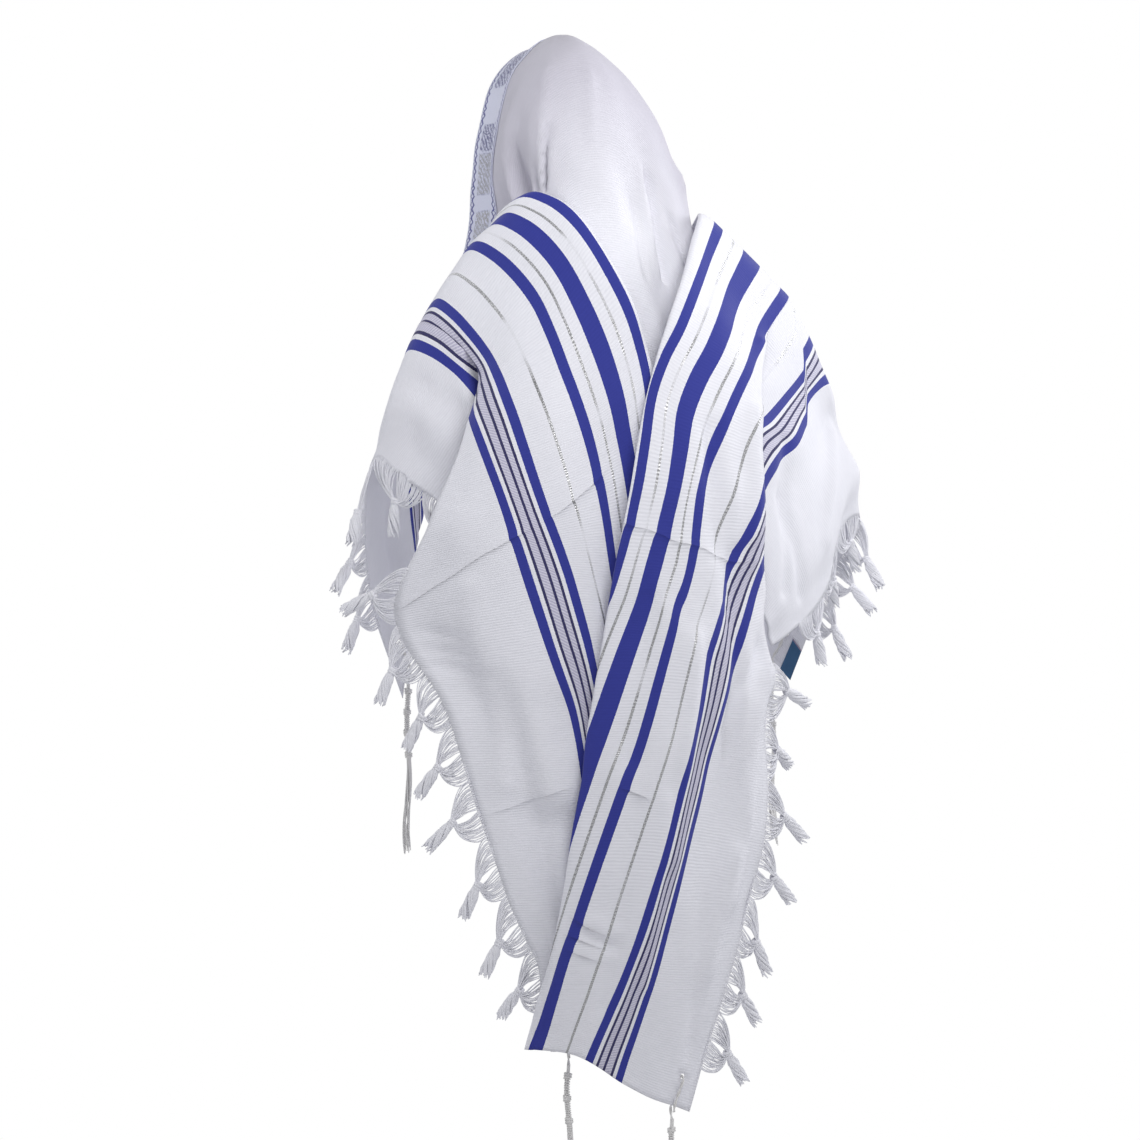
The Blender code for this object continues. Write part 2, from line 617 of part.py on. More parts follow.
def fringe(name, grid, normal, first, last, seed):
    """A strip parted from the cloth's outer edge, with a knotted lock on every other stretch."""
    edge = grid[:, -1]
    along = np.gradient(edge, axis=0)
    out = unit(np.cross(normal[:, -1], along))
    if np.sum(out * (grid[:, -1] - grid[:, -2])) < 0:
        out = -out
    n = normal[:, -1]
    rows = range(first, last)
    points = []
    for r in rows:
        near = edge[r] + out[r] * SEAM
        far = edge[r] + out[r] * (SEAM + STRIP_WIDTH)
        points += [near, far, far - n[r] * WALL, near - n[r] * WALL]
    count = len(points) // 4
    faces = [(0, 1, 2, 3)]
    k = (count - 1) * 4
    faces.append((k + 3, k + 2, k + 1, k))
    travelled = lengths(edge[first:last])
    next_lock = FRINGE_PITCH * FIRST_LOCK
    lock = 0
    for i in range(count - 1):
        a = i * 4
        b = a + 4
        faces.append((a, a + 3, b + 3, b))
        faces.append((a + 3, a + 2, b + 2, b + 3))
        faces.append((a + 1, a, b, b + 1))
        middle = (travelled[i] + travelled[i + 1]) / 2
        if middle < next_lock or travelled[i + 1] - travelled[i] < LOCK_ROOT:
            faces.append((a + 2, a + 1, b + 1, b + 2))
            continue
        next_lock = middle + FRINGE_PITCH * LOCK_STEP
        ring = [a + 2, a + 1, b + 1, b + 2]
        place = (np.asarray(points[a + 1]) + points[b + 2]) / 2
        side = unit(edge[first + i + 1] - edge[first + i])
        outward = unit(out[first + i] + out[first + i + 1])
        done = 0.0
        for distance, half_width, half_depth in LOCK:
            share = min(1.0, distance / LOCK_TURNED)
            swing = LOCK_SWAY[0] * noise(lock, seed) * side
            swing = swing + LOCK_SWAY[1] * noise(lock, seed + 5) * n[first + i]
            heading = unit(outward * (1.0 - 0.45 * share) + DOWN * (0.15 + 0.45 * share) + swing)
            place = place + heading * (distance - done)
            done = distance
            wide = unit(side - heading * np.dot(side, heading))
            deep = np.cross(wide, heading)
            if np.dot(deep, n[first + i]) < 0:
                deep = -deep
            start = len(points)
            points.append(place - wide * half_width - deep * half_depth)
            points.append(place - wide * half_width + deep * half_depth)
            points.append(place + wide * half_width + deep * half_depth)
            points.append(place + wide * half_width - deep * half_depth)
            for s in range(4):
                t = (s + 1) % 4
                faces.append((ring[s], ring[t], start + t, start + s))
            ring = [start, start + 1, start + 2, start + 3]
        faces.append(tuple(ring))
        lock += 1
    solid(name, np.asarray(points), faces, KNOTS)


# Corner thread below the loop: (distance down, radius), with five double knots, then strands.
WINDING = (
    (0.010, 0.0028), (0.018, 0.0052), (0.026, 0.0034), (0.040, 0.0034), (0.046, 0.0054),
    (0.052, 0.0034), (0.068, 0.0034), (0.074, 0.0054), (0.080, 0.0034), (0.098, 0.0034),
    (0.104, 0.0054), (0.111, 0.0048), (0.150, 0.0064), (0.200, 0.0070), (0.250, 0.0056),
)


def tube(name, path, radii, sides, colour):
    """A closed round tube along a path."""
    path = np.asarray(path, float)
    along = unit(np.gradient(path, axis=0))
    side = unit(np.cross(along[0], np.array([0.3, 0.9, 0.2])))
    points = []
    for k, place in enumerate(path):
        side = unit(side - along[k] * np.dot(side, along[k]))
        other = np.cross(along[k], side)
        for s in range(sides):
            turn = 2 * math.pi * s / sides
            points.append(place + radii[k] * (side * math.cos(turn) + other * math.sin(turn)))
    faces = [tuple(range(sides)), tuple(reversed(range(len(points) - sides, len(points))))]
    for k in range(len(path) - 1):
        for s in range(sides):
            t = (s + 1) % sides
            a = k * sides
            b = a + sides
            faces.append((a + s, b + s, b + t, a + t))
    solid(name, points, faces, colour)


def corner_thread(name, hole, over, normal):
    """A thread through the corner hole, round the edge at `over`, then knotted and hanging."""
    clear = THREAD_RADIUS + THREAD_CLEAR
    front = normal * clear
    back = -normal * (WALL + clear)
    path = [
        over + front + DOWN * 0.003,
        over + front,
        hole + front + (over - hole) * 0.30,
        hole + front * 0.85 + (over - hole) * 0.04,
        hole + back * 0.5,
        hole + back * 0.95 + (over - hole) * 0.04,
        hole + back + (over - hole) * 0.30,
        over + back,
        over + back * 0.9 + DOWN * 0.006,
    ]
    radii = [THREAD_RADIUS] * len(path)
    knot = over + DOWN * 0.008 - normal * WALL / 2
    for distance, radius in WINDING:
        path.append(knot + DOWN * distance)
        radii.append(radius)
    tube(name, path, radii, THREAD_SIDES, KNOTS)


def patch(name, grid, normal, rows, columns, side, thickness, colour):
    """A flat piece made from a panel's own points, moved out from it on one side."""
    place = grid[rows[0]:rows[1], columns[0]:columns[1]]
    n = normal[rows[0]:rows[1], columns[0]:columns[1]]
    if side > 0:
        wall(name, place + n * (SEAM + thickness), n, thickness, colour)
    else:
        wall(name, place - n * (WALL + SEAM), n, thickness, colour)


def middle(grid, row, column):
    """Centre of one cell."""
    return (grid[row, column] + grid[row + 1, column + 1]) / 2


for item in list(bpy.data.objects):
    bpy.data.objects.remove(item)

# Each fall: table, which side of its grid is out, and columns between those of its table.
striped = (0.0, 0.5, 1.0, 1.5, 2.0, 2.5, 3.0, 3.3)
sides = (
    ("left", -1.0, LEFT_BACK, striped + (3.65, 3.75, 4.0), LEFT_FOLDS,
     LEFT_ARM, (0.0, 0.5, 1.0, 1.5, 2.0, 2.3, 2.55, 2.63, 3.0), 3),
    ("right", 1.0, RIGHT_BACK, striped + (3.72, 3.80, 4.0), RIGHT_FOLDS,
     RIGHT_ARM, (0.0, 0.5, 1.0, 1.5, 2.0, 2.5, 3.0, 3.4, 3.67, 3.73, 3.82, 4.0), 3),
)
falls = {}
for name, outside, back_table, back_columns, folds, arm_table, arm_columns, parting in sides:
    back = sections(back_table, back_columns)
    arm = sections(arm_table, arm_columns)
    back_knots = lengths(back[:, -1, :3])
    arm_knots = lengths(arm[:, 0, :3])
    front = even_rows(arm_knots, arm[:, -1, :3], ROW, ends=(HOLE_INSET,))[1:3]
    at = even_rows(back_knots, back[:, -1, :3], ROW, ends=(-HOLE_INSET,))
    at = np.sort(np.concatenate([[s for s in at if abs(s - front.mean()) > ROW * 0.4], front]))
    back_grid = swelled(drape(back, back_knots, at), outside, folds)
    part = arm_knots[parting]
    shared = [s for s in at if s < part - ROW * 0.3]
    under = even_rows(arm_knots, arm[:, -1, :3], ROW, start=shared[-1])[1:]
    arm_grid = swelled(drape(arm, arm_knots, np.concatenate([shared, under])), outside, folds)
    parting_rows = (len(shared) - 3, len(shared) - 1)
    sink = np.interp(np.arange(len(at)), parting_rows, (0.0, PART_SINK))
    facing = normals(arm_grid, outside)
    fade = np.linspace(1.0, 0.0, arm_grid.shape[1]) ** 2
    arm_grid -= facing * sink[:len(arm_grid), None, None] * fade[None, :, None]
    falls[name] = [outside, back_grid, arm_grid, len(shared)]

# The right side lies on the left one, both lie on their own ends, and all on the hood.
right_back = falls["right"][1]
right_back_normal = normals(right_back, 1.0)
left_back = pressed(falls["left"][1], [widened(right_back, right_back_normal)])
left_back_normal = normals(left_back, -1.0)
left_arm = pressed(falls["left"][2], [(left_back, left_back_normal)], falls["left"][3] - 1)
left_arm_normal = normals(left_arm, -1.0)
right_arm = pressed(falls["right"][2], [(right_back, right_back_normal)], falls["right"][3] - 1)
right_arm_normal = normals(right_arm, 1.0)
for arm, arm_normal, back_normal, shared in (
    (left_arm, left_arm_normal, left_back_normal, falls["left"][3]),
    (right_arm, right_arm_normal, right_back_normal, falls["right"][3]),
):
    arm_normal[:shared, 0] = back_normal[:shared, -1]
    along = unit(np.gradient(arm[:, 0], axis=0))
    beside = np.cross(along, arm_normal[:, 0])
    beside *= np.sign(np.sum(beside * (arm[:, 1] - arm[:, 0])))
    arm[:, 0] += unit(beside) * 3 * SEAM
hood_columns = np.linspace(-CENTRE_HALF, CENTRE_HALF, 27)
hood_rows = np.concatenate([np.linspace(0.0, BAND_WIDTH, 4), np.linspace(0.12, CLOTH_WIDTH, 28)])
hood = pressed(hood_grid(hood_columns, hood_rows), [
    widened(left_back, left_back_normal), widened(right_back, right_back_normal),
    (left_arm, left_arm_normal), (right_arm, right_arm_normal)], least=HOOD_PRESS)
hood = carrying(hood, left_arm - left_arm_normal * WALL)
hood = carrying(hood, right_arm - right_arm_normal * WALL)
hood_normal = normals(hood, 1.0)

wall("hood_centre", hood, hood_normal, WALL, WOOL)
patch("atarah", hood, hood_normal, BAND_ROWS, BAND_COLUMNS, 1, BAND_WALL, BAND)
edges = {}
for name, outside, grid, normal in (
    ("left_back_fall", -1.0, left_back, left_back_normal),
    ("right_back_fall", 1.0, right_back, right_back_normal),
):
    grid = np.concatenate([turned_edge(grid, normal), grid], axis=1)
    normal = normals(grid, outside)
    wall(name, grid, normal, WALL, WOOL, {(len(grid) - 3, grid.shape[1] - 3)})
    edges[name] = (grid, normal)
wall("left_arm_fall", left_arm, left_arm_normal, WALL, WOOL, {(1, left_arm.shape[1] - 3)})
wall("right_arm_fall", right_arm, right_arm_normal, WALL, WOOL, {(1, right_arm.shape[1] - 4)})
left_fall, left_fall_normal = edges["left_back_fall"]
right_fall, right_fall_normal = edges["right_back_fall"]

# Fringe along the outer edges.
for name, grid, normal, first, last, seed in (
    ("fringe_left_back", left_fall, left_fall_normal, 20, len(left_fall) - 2, 1),
    ("fringe_right_back", right_fall, right_fall_normal, 25, len(right_fall) - 2, 2),
    ("fringe_left_arm", left_arm, left_arm_normal, 3, len(left_arm), 3),
    ("fringe_right_arm", right_arm, right_arm_normal, 3, len(right_arm) - 1, 4),
):
    fringe(name, grid, normal, first, last, seed)

# Corner threads.
for name, grid, normal, row, column, edge_row in (
    ("tzitzit_left_back", left_fall, left_fall_normal, len(left_fall) - 3, -3, -1),
    ("tzitzit_right_back", right_fall, right_fall_normal, len(right_fall) - 3, -3, -1),
    ("tzitzit_left_front", left_arm, left_arm_normal, 1, -3, 0),
    ("tzitzit_right_front", right_arm, right_arm_normal, 1, -4, 0),
):
    hole = middle(grid, row, column)
    over = (grid[edge_row, column] + grid[edge_row, column + 1]) / 2
    over = over + unit(over - hole) * OVER_EDGE
    corner_thread(name, hole, over, normal[edge_row, column])

# Blank tag on the inner face of the right front corner.
patch("label", right_arm, right_arm_normal, TAG_ROWS, TAG_COLUMNS, -1, TAG_WALL, TAG)
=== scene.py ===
"""Tallit prayer shawl worn over the head: woven wool, neckband, knotted fringe, corner threads.

Metres, +Z up, and millimetres in the tables that say so. The origin is the crown of the head,
inside the hood. The wearer would face +Y.
"""

import functools
import math

import bmesh
import bpy
import numpy as np
from bpy.props import FloatProperty, FloatVectorProperty, IntProperty, PointerProperty
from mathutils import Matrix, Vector
from mathutils.bvhtree import BVHTree


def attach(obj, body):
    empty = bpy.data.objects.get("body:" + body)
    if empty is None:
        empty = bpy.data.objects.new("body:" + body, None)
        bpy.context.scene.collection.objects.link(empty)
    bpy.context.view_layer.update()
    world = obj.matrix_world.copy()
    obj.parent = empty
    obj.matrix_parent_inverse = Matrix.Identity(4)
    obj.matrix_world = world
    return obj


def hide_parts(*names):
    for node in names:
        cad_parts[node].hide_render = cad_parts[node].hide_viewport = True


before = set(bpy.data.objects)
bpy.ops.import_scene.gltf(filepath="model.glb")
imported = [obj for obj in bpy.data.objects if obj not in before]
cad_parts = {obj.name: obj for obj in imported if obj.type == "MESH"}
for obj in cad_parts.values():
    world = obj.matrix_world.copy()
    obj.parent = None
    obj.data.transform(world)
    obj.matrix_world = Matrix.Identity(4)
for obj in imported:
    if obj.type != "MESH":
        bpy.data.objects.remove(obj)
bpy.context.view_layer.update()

bl_info = {
    "name": "Tallit Prayer Shawl",
    "version": (1, 0, 0),
    "blender": (4, 5, 0),
    "location": "3D View > Sidebar > Shawl",
    "description": "Builds a worn prayer shawl with its neckband, fringe and corner threads",
    "category": "Add Mesh",
}

MM = 1000.0
DOWN = np.array([0.0, 0.0, -1.0])

# Flat size of the whole cloth and of its neckband, their walls, and the gap at seams.
CLOTH_LENGTH = 1.90
CLOTH_WIDTH = 1.40
CENTRE_HALF = 0.46
BAND_WIDTH = 0.08
WALL = 0.002
BAND_WALL = 0.0012
TAG_WALL = 0.0008
SEAM = 0.0003

# Distance between rows of the solids' grids, and the hood's columns, its rows under the
# neckband, the start and number of the rest, and the column where the neckband ends.
ROW = 0.0375
HOOD_COLUMNS = 27
BAND_ROWS = 4
HOOD_ROWS = (0.12, 28)
BAND_COLUMN = 2
NEAR = 1e-6

# Places tried along a line, and shares of a row kept clear at a hole, at the front corner's
# rows and where stripes and plain end part.
SAMPLES = 1500
HOLE_ROOM = 0.55
FRONT_ROOM = 0.4
PART_ROOM = 0.3

# The inner edge of each striped fall, rolled under: radius, depth, a stop on the way, degrees
# of the roll, its least depth and how fast that grows, and the room that it needs beneath.
TURN_RADIUS = 0.004
TURN_DEPTH = 0.030
TURN_MIDDLE = 0.45
TURN_ANGLES = (180.0, 125.0, 90.0, 45.0)
TURN_GROWTH = (0.15, 12.0)
TURN_ROOM = 3 * TURN_RADIUS

# A layer that another lies on: gap kept under it, how far aside and above it is felt, rounds,
# and rows over which it begins to be felt.
PRESS = 0.018
HOOD_PRESS = 0.016
PRESS_ASIDE = 0.022
PRESS_ABOVE = 0.06
PRESS_STEPS = 7
PRESS_FADE = 2.0

# The hood swells out to carry the plain ends: width of the swell and rounds.
CARRY_WIDTH = 0.05
CARRY_STEPS = 8

# A plain end sinks under the stripes where the two part, and its edge is tucked beneath theirs.
PART_SINK = 0.0038
TUCK = 0.0015

# Fringe: pitch of the locks, place of the first, least step to the next and width of a root as
# shares of it, sway aside and outwards, length that turns down, how far out and down it heads
# at the edge and how that changes, strip at the edge.
FRINGE_PITCH = 0.075
FIRST_LOCK = 0.35
LOCK_STEP = 0.7
LOCK_ROOT = 0.02
LOCK_SWAY = (0.34, 0.12)
LOCK_TURNED = 0.04
LOCK_OUT = (1.0, 0.45)
LOCK_HANG = (0.15, 0.45)
STRIP_WIDTH = 0.006

# Distances down a lock: its rings, its knot and the end of its tassel.
LOCK = (0.012, 0.024, 0.029, 0.035, 0.046, 0.066, 0.077)
KNOT = 0.029
TASSEL_END = 0.077
RINGS = (0.0, STRIP_WIDTH, *(STRIP_WIDTH + distance for distance in LOCK))

# How far threads of one half of a lock bow aside just above its knot: innermost, outermost.
EYE = 0.007
BOW = 0.017

# Threads gathered into a knot: points along one, unevenness of the roots, how far a root is
# tucked in, lift off the cloth, sag at one side of a lock and how much more at the other, share
# of the sag at the start and of the lift at the end, reach out and its unevenness, reach aside,
# and the turn, height and unevenness of the waves along them.
THREAD_POINTS = 12
ROOT_UNEVEN = 0.0012
THREAD_TUCK = 0.003
THREAD_LIFT = 0.0022
THREAD_SAG = (0.004, 0.010)
THREAD_EASE = (0.4, 1.5)
THREAD_OUT = (0.013, 0.003)
THREAD_ASIDE = 0.004
THREAD_WAVE = (9.0, 0.0007, 3.0)

# How the bow grows outwards, how far above the knot it ends in the middle and how much less at
# the sides, the bunch inside the knot, and the yarn wound round it.
BOW_SHAPE = 1.3
MOUTH = (0.012, 0.006)
KNOT_CORE = (0.0022, 0.0020)
KNOT_TURNS = 2.4
KNOT_HEIGHT = 0.0085
KNOT_RADIUS = 0.0036
KNOT_YARN = 0.0025

# Below a knot: radii of the tassel's core, how far open it is at the knot, how fast it opens
# and how it flares at the end, then its strands' spread, lengths, twist and taper.
TASSEL_CORE = (0.002, 0.0042, 0.0048, 0.0048, 0.0046, 0.0042, 0.002)
TASSEL_OPENS = (0.35, 4.0)
TASSEL_FLARE = 0.3
STRAND_SPREAD = (0.0054, 0.0006)
STRAND_SHORTER = 0.13
STRAND_TWIST = 3.4
STRAND_TAPER = (0.8, 1.0, 1.05, 1.05, 1.0, 1.0, 0.85, 0.35)

# Corner threads: hole, its distance from the edge, thread, gap to the cloth and hanging length.
HOLE = 0.008
HOLE_INSET = 0.040
THREAD_RADIUS = 0.0019
THREAD_CLEAR = 0.0009
THREAD_LENGTH = 0.25

# The loop: points along it, twist, how far it lies off the edge and drops past it. A thread of
# it, the core below it, and how far, how fast and below what drop the core sways.
LOOP_POINTS = 90
LOOP_TWIST = 26.0
LOOP_OFF = 0.004
LOOP_DROP = 0.008
STRAND_RADIUS = 0.0010
CORE_RADIUS = 0.0024
CORE_SWAY = (0.0022, 46.0, 0.03)

# Below the loop: where the double knots are and turns wound before each, half a knot's height,
# radius and yarn of windings and knots, then loose strands: how far they reach up into the
# last knot, and how they turn, part, spread and thin out.
KNOTS_DOWN = ((0.018, 3), (0.046, 7), (0.074, 8), (0.104, 11))
LOOSE_FROM = 0.112
LOOSE_STRANDS = 8
LOOSE_POINTS = 18
LOOSE_SHORTER = 0.012
LOOSE_TUCK = 0.006
LOOSE_TURN = (3.0, 0.5)
LOOSE_PART = (1.2, 0.6, 0.4)
LOOSE_SPREAD = (0.0020, 0.0050)
LOOSE_TAPER = ((0.0, 0.9, 1.0), (0.0012, 0.0012, 0.0006))
KNOT_HALF = 0.003
LEAST_WINDING = 0.012
WINDING = (0.0029, 0.0011)
DOUBLE_KNOT = (0.0038, 0.0018)

# Hood and centre of the cloth, right half, in millimetres. u is the flat distance from the
# centre line, and the flare is extra width where the cloth slopes to the raised shoulder.
HOOD_U = (0, 100, 200, 300, 380, 460)
HOOD_FLARE = (0, 8, 43, 60, 44, 19)

# One row for each section from the front edge back: (name, share of the flare, share of the
# width on the left, lean of the head to the left, points (x, y, z)...).
HOOD = (
    ("front edge", 0.15, 1.0, 10, (0, 105, 2), (63, 85, -51), (96, 55, -146), (104, 67, -245),
     (112, 80, -336), (118, 94, -416)),
    ("brow", 0.4, 1.0, 10, (0, 60, 1), (58, 42, -54), (92, 12, -150), (96, 20, -248),
     (110, 32, -322), (126, 46, -376)),
    ("crown", 0.8, 1.0, 10, (0, -10, 1), (54, -10, -43), (95, -30, -150), (101, -35, -244),
     (118, -20, -306), (142, -8, -344)),
    ("back of head", 1.0, 1.0, 10, (0, -80, -24), (61, -70, -64), (100, -70, -168),
     (106, -72, -252), (130, -58, -310), (155, -42, -340)),
    ("occiput", 1.0, 1.0, 9, (0, -124, -84), (60, -112, -118), (90, -100, -208), (104, -98, -284),
     (134, -84, -334), (162, -66, -356)),
    ("nape", 0.9, 1.0, 7, (0, -140, -165), (55, -130, -190), (88, -120, -262), (112, -118, -332),
     (142, -100, -374), (170, -78, -394)),
    ("neck", 0.6, 1.0, 4, (0, -146, -245), (55, -140, -265), (96, -138, -328), (126, -134, -394),
     (154, -114, -430), (177, -88, -450)),
    ("shoulders", 0.25, 1.0, 0, (0, -168, -345), (58, -164, -360), (104, -158, -408),
     (138, -148, -465), (162, -126, -494), (180, -98, -514)),
    ("blades", 0.0, 1.0, 0, (0, -188, -470), (62, -184, -480), (110, -174, -512), (144, -156, -562),
     (166, -132, -590), (181, -102, -610)),
    ("waist", 0.0, 0.92, 0, (0, -186, -700), (66, -182, -702), (118, -172, -712), (148, -152, -734),
     (167, -128, -750), (180, -98, -764)),
    ("hips", 0.0, 0.72, 0, (0, -190, -940), (68, -186, -940), (122, -174, -940), (152, -152, -946),
     (170, -126, -952), (182, -96, -958)),
    ("hem", 0.0, 0.45, 0, (0, -186, -1212), (68, -182, -1210), (122, -170, -1206),
     (152, -148, -1202), (172, -122, -1200), (188, -92, -1198)),
)

# Soft folds of the hood, in millimetres: from (u, v) to (u, v), width and height of the swell.
HOOD_FOLDS = (
    (-60, 210, -135, 285, 22, 6), (100, 160, 240, 460, 30, 6), (119, 340, 150, 500, 22, -6),
    (20, 400, 120, 620, 30, 6), (-120, 400, -30, 620, 30, 5),
)

# Four tables of the falls, in millimetres. Each point is (u, x, y, z): its flat distance from
# the centre line, then where it hangs. Left stripes, from the front edge over the shoulder and
# down the back.
LEFT_BACK = (
    ("front", (490, -121, 99, -430), (617, -142, 124, -560), (700, -160, 130, -640),
     (715, -164, 130, -653), (727, -168, 130, -665)),
    ("chest", (495, -127, 9, -330), (617, -155, 56, -440), (700, -179, 78, -505),
     (715, -183, 81, -518), (727, -188, 83, -530)),
    ("shoulder", (500, -85, -113, -225), (617, -147, -64, -290), (700, -191, -37, -361),
     (715, -198, -34, -374), (727, -204, -32, -387)),
    ("blade", (500, -30, -168, -278), (617, -94, -145, -365), (700, -147, -115, -434),
     (715, -154, -109, -444), (727, -157, -102, -453)),
    ("spine", (497, 17, -217, -386), (617, -68, -193, -464), (700, -137, -166, -494),
     (740, -167, -141, -508), (765, -178, -127, -524)),
    ("waist_up", (490, 45, -234, -542), (617, -38, -222, -585), (700, -110, -211, -614),
     (753, -153, -195, -624), (880, -226, -125, -645)),
    ("waist", (480, 82, -237, -733), (617, -15, -226, -726), (700, -73, -222, -720),
     (753, -122, -211, -730), (950, -263, -91, -761)),
    ("hip", (480, 93, -241, -871), (617, 4, -230, -858), (700, -37, -229, -869),
     (753, -78, -225, -875), (950, -211, -141, -881)),
    ("thigh", (480, 92, -243, -997), (617, 15, -232, -995), (700, -20, -231, -994),
     (753, -54, -229, -993), (950, -182, -170, -998)),
    ("knee", (480, 82, -237, -1160), (617, 21, -229, -1159), (700, -6, -228, -1158),
     (753, -36, -227, -1156), (950, -134, -198, -1155)),
    ("hem", (480, 74, -229, -1300), (617, 28, -226, -1302), (700, 6, -228, -1304),
     (753, -20, -227, -1307), (950, -95, -208, -1308)),
)

# Left plain end, from the front corner round the arm and in under the stripes.
LEFT_ARM = (
    ("front", (727, -168, 130, -665), (753, -170, 129, -690), (850, -180, 125, -785),
     (950, -190, 120, -880)),
    ("chest", (727, -188, 83, -530), (753, -194, 86, -555), (850, -222, 91, -645),
     (950, -244, 94, -735)),
    ("shoulder", (727, -204, -32, -387), (753, -217, -28, -417), (850, -239, -14, -494),
     (950, -262, 5, -562)),
    ("blade", (727, -157, -102, -453), (753, -162, -92, -472), (850, -192, -66, -531),
     (950, -231, -33, -591)),
    ("under", (727, -142, -113, -486), (753, -145, -107, -501), (850, -172, -89, -561),
     (950, -203, -59, -613)),
    ("end", (727, -128, -129, -524), (753, -132, -124, -542), (850, -154, -109, -593),
     (950, -181, -88, -644)),
)

# Right stripes, which hang over the left ones.
RIGHT_BACK = (
    ("front", (480, 125, 100, -430), (540, 146, 113, -490), (600, 167, 126, -547),
     (617, 171, 128, -556), (625, 173, 128, -562)),
    ("chest", (480, 134, -12, -320), (540, 170, 4, -362), (600, 209, 20, -408),
     (617, 221, 24, -420), (625, 226, 25, -426)),
    ("shoulder", (480, 145, -127, -242), (540, 201, -121, -278), (600, 259, -110, -326),
     (617, 272, -110, -337), (625, 279, -109, -344)),
    ("blade", (485, 109, -183, -304), (540, 148, -184, -344), (600, 194, -177, -386),
     (617, 209, -176, -397), (625, 215, -176, -402)),
    ("spine", (490, 61, -230, -391), (550, 106, -239, -421), (600, 151, -238, -442),
     (620, 169, -234, -450), (645, 179, -227, -468)),
    ("waist_up", (500, 25, -248, -477), (560, 66, -264, -502), (617, 119, -267, -518),
     (650, 147, -261, -528), (675, 168, -251, -538)),
    ("waist", (495, -2, -258, -583), (560, 46, -280, -591), (617, 82, -283, -596),
     (660, 127, -275, -602), (700, 168, -258, -607)),
    ("hip_up", (505, -24, -255, -708), (560, 13, -279, -710), (617, 61, -286, -712),
     (700, 121, -273, -711), (755, 175, -255, -701)),
    ("hip", (527, -38, -252, -793), (617, 33, -291, -795), (700, 89, -288, -804),
     (753, 130, -281, -810), (820, 185, -254, -799)),
    ("thigh_up", (548, -54, -246, -897), (617, 6, -284, -895), (700, 69, -291, -896),
     (753, 102, -284, -897), (920, 182, -247, -892)),
    ("thigh", (567, -69, -241, -1001), (617, -30, -274, -1000), (700, 40, -289, -1004),
     (753, 72, -282, -1008), (950, 181, -247, -1032)),
    ("knee", (590, -93, -227, -1149), (617, -75, -247, -1147), (700, 2, -279, -1146),
     (753, 35, -279, -1148), (950, 149, -251, -1155)),
    ("hem", (605, -125, -205, -1304), (617, -114, -217, -1303), (700, -62, -256, -1314),
     (753, -24, -263, -1340), (950, 76, -246, -1387)),
)

# Right plain end round the raised elbow.
RIGHT_ARM = (
    ("front", (625, 173, 128, -562), (700, 207, 130, -632), (753, 231, 121, -678),
     (850, 285, 86, -775), (950, 343, 30, -860)),
    ("chest", (625, 226, 25, -426), (700, 272, 31, -497), (753, 301, 31, -545),
     (850, 350, 21, -630), (950, 386, 3, -730)),
    ("shoulder", (625, 279, -109, -344), (700, 328, -87, -411), (753, 355, -76, -469),
     (850, 384, -65, -545), (950, 409, -53, -634)),
    ("blade", (625, 215, -176, -402), (700, 278, -139, -463), (753, 312, -114, -488),
     (850, 354, -97, -573), (950, 363, -79, -660)),
    ("under", (625, 177, -201, -448), (700, 219, -181, -509), (753, 266, -161, -540),
     (850, 317, -126, -621), (950, 338, -102, -721)),
    ("side", (625, 150, -225, -523), (700, 177, -213, -544), (753, 209, -191, -586),
     (850, 271, -162, -675), (950, 302, -126, -763)),
    ("low", (625, 141, -227, -606), (700, 165, -220, -631), (753, 187, -206, -656),
     (850, 231, -185, -724), (950, 264, -155, -786)),
    ("end", (625, 141, -227, -676), (700, 161, -218, -708), (753, 179, -209, -740),
     (850, 202, -191, -766), (950, 224, -172, -806)),
)

# Soft folds of the falls, in millimetres: from (u, height z) to (u, z), width and height.
LEFT_FOLDS = (
    (840, -660, 800, -1100, 30, 8), (900, -800, 860, -1150, 22, -6), (660, -520, 660, -950, 22, 5),
    (840, -440, 860, -560, 25, 6),
)
RIGHT_FOLDS = (
    (800, -720, 830, -1080, 20, -12), (870, -800, 880, -1200, 28, 10),
    (660, -600, 660, -1100, 20, 6), (880, -440, 900, -680, 28, 10), (800, -420, 800, -600, 24, -6),
)

# Each side: name, which side of its grid is out, table and columns of the stripes, folds,
# table and columns of the plain end, and the row where the two part.
STRIPED = (0.0, 0.5, 1.0, 1.5, 2.0, 2.5, 3.0, 3.3)
SIDES = (
    ("left", -1.0, LEFT_BACK, STRIPED + (3.65, 3.75, 4.0), LEFT_FOLDS,
     LEFT_ARM, (0.0, 0.5, 1.0, 1.5, 2.0, 2.3, 2.55, 2.63, 3.0), 3),
    ("right", 1.0, RIGHT_BACK, STRIPED + (3.72, 3.80, 4.0), RIGHT_FOLDS,
     RIGHT_ARM, (0.0, 0.5, 1.0, 1.5, 2.0, 2.5, 3.0, 3.4, 3.67, 3.73, 3.82, 4.0), 3),
)

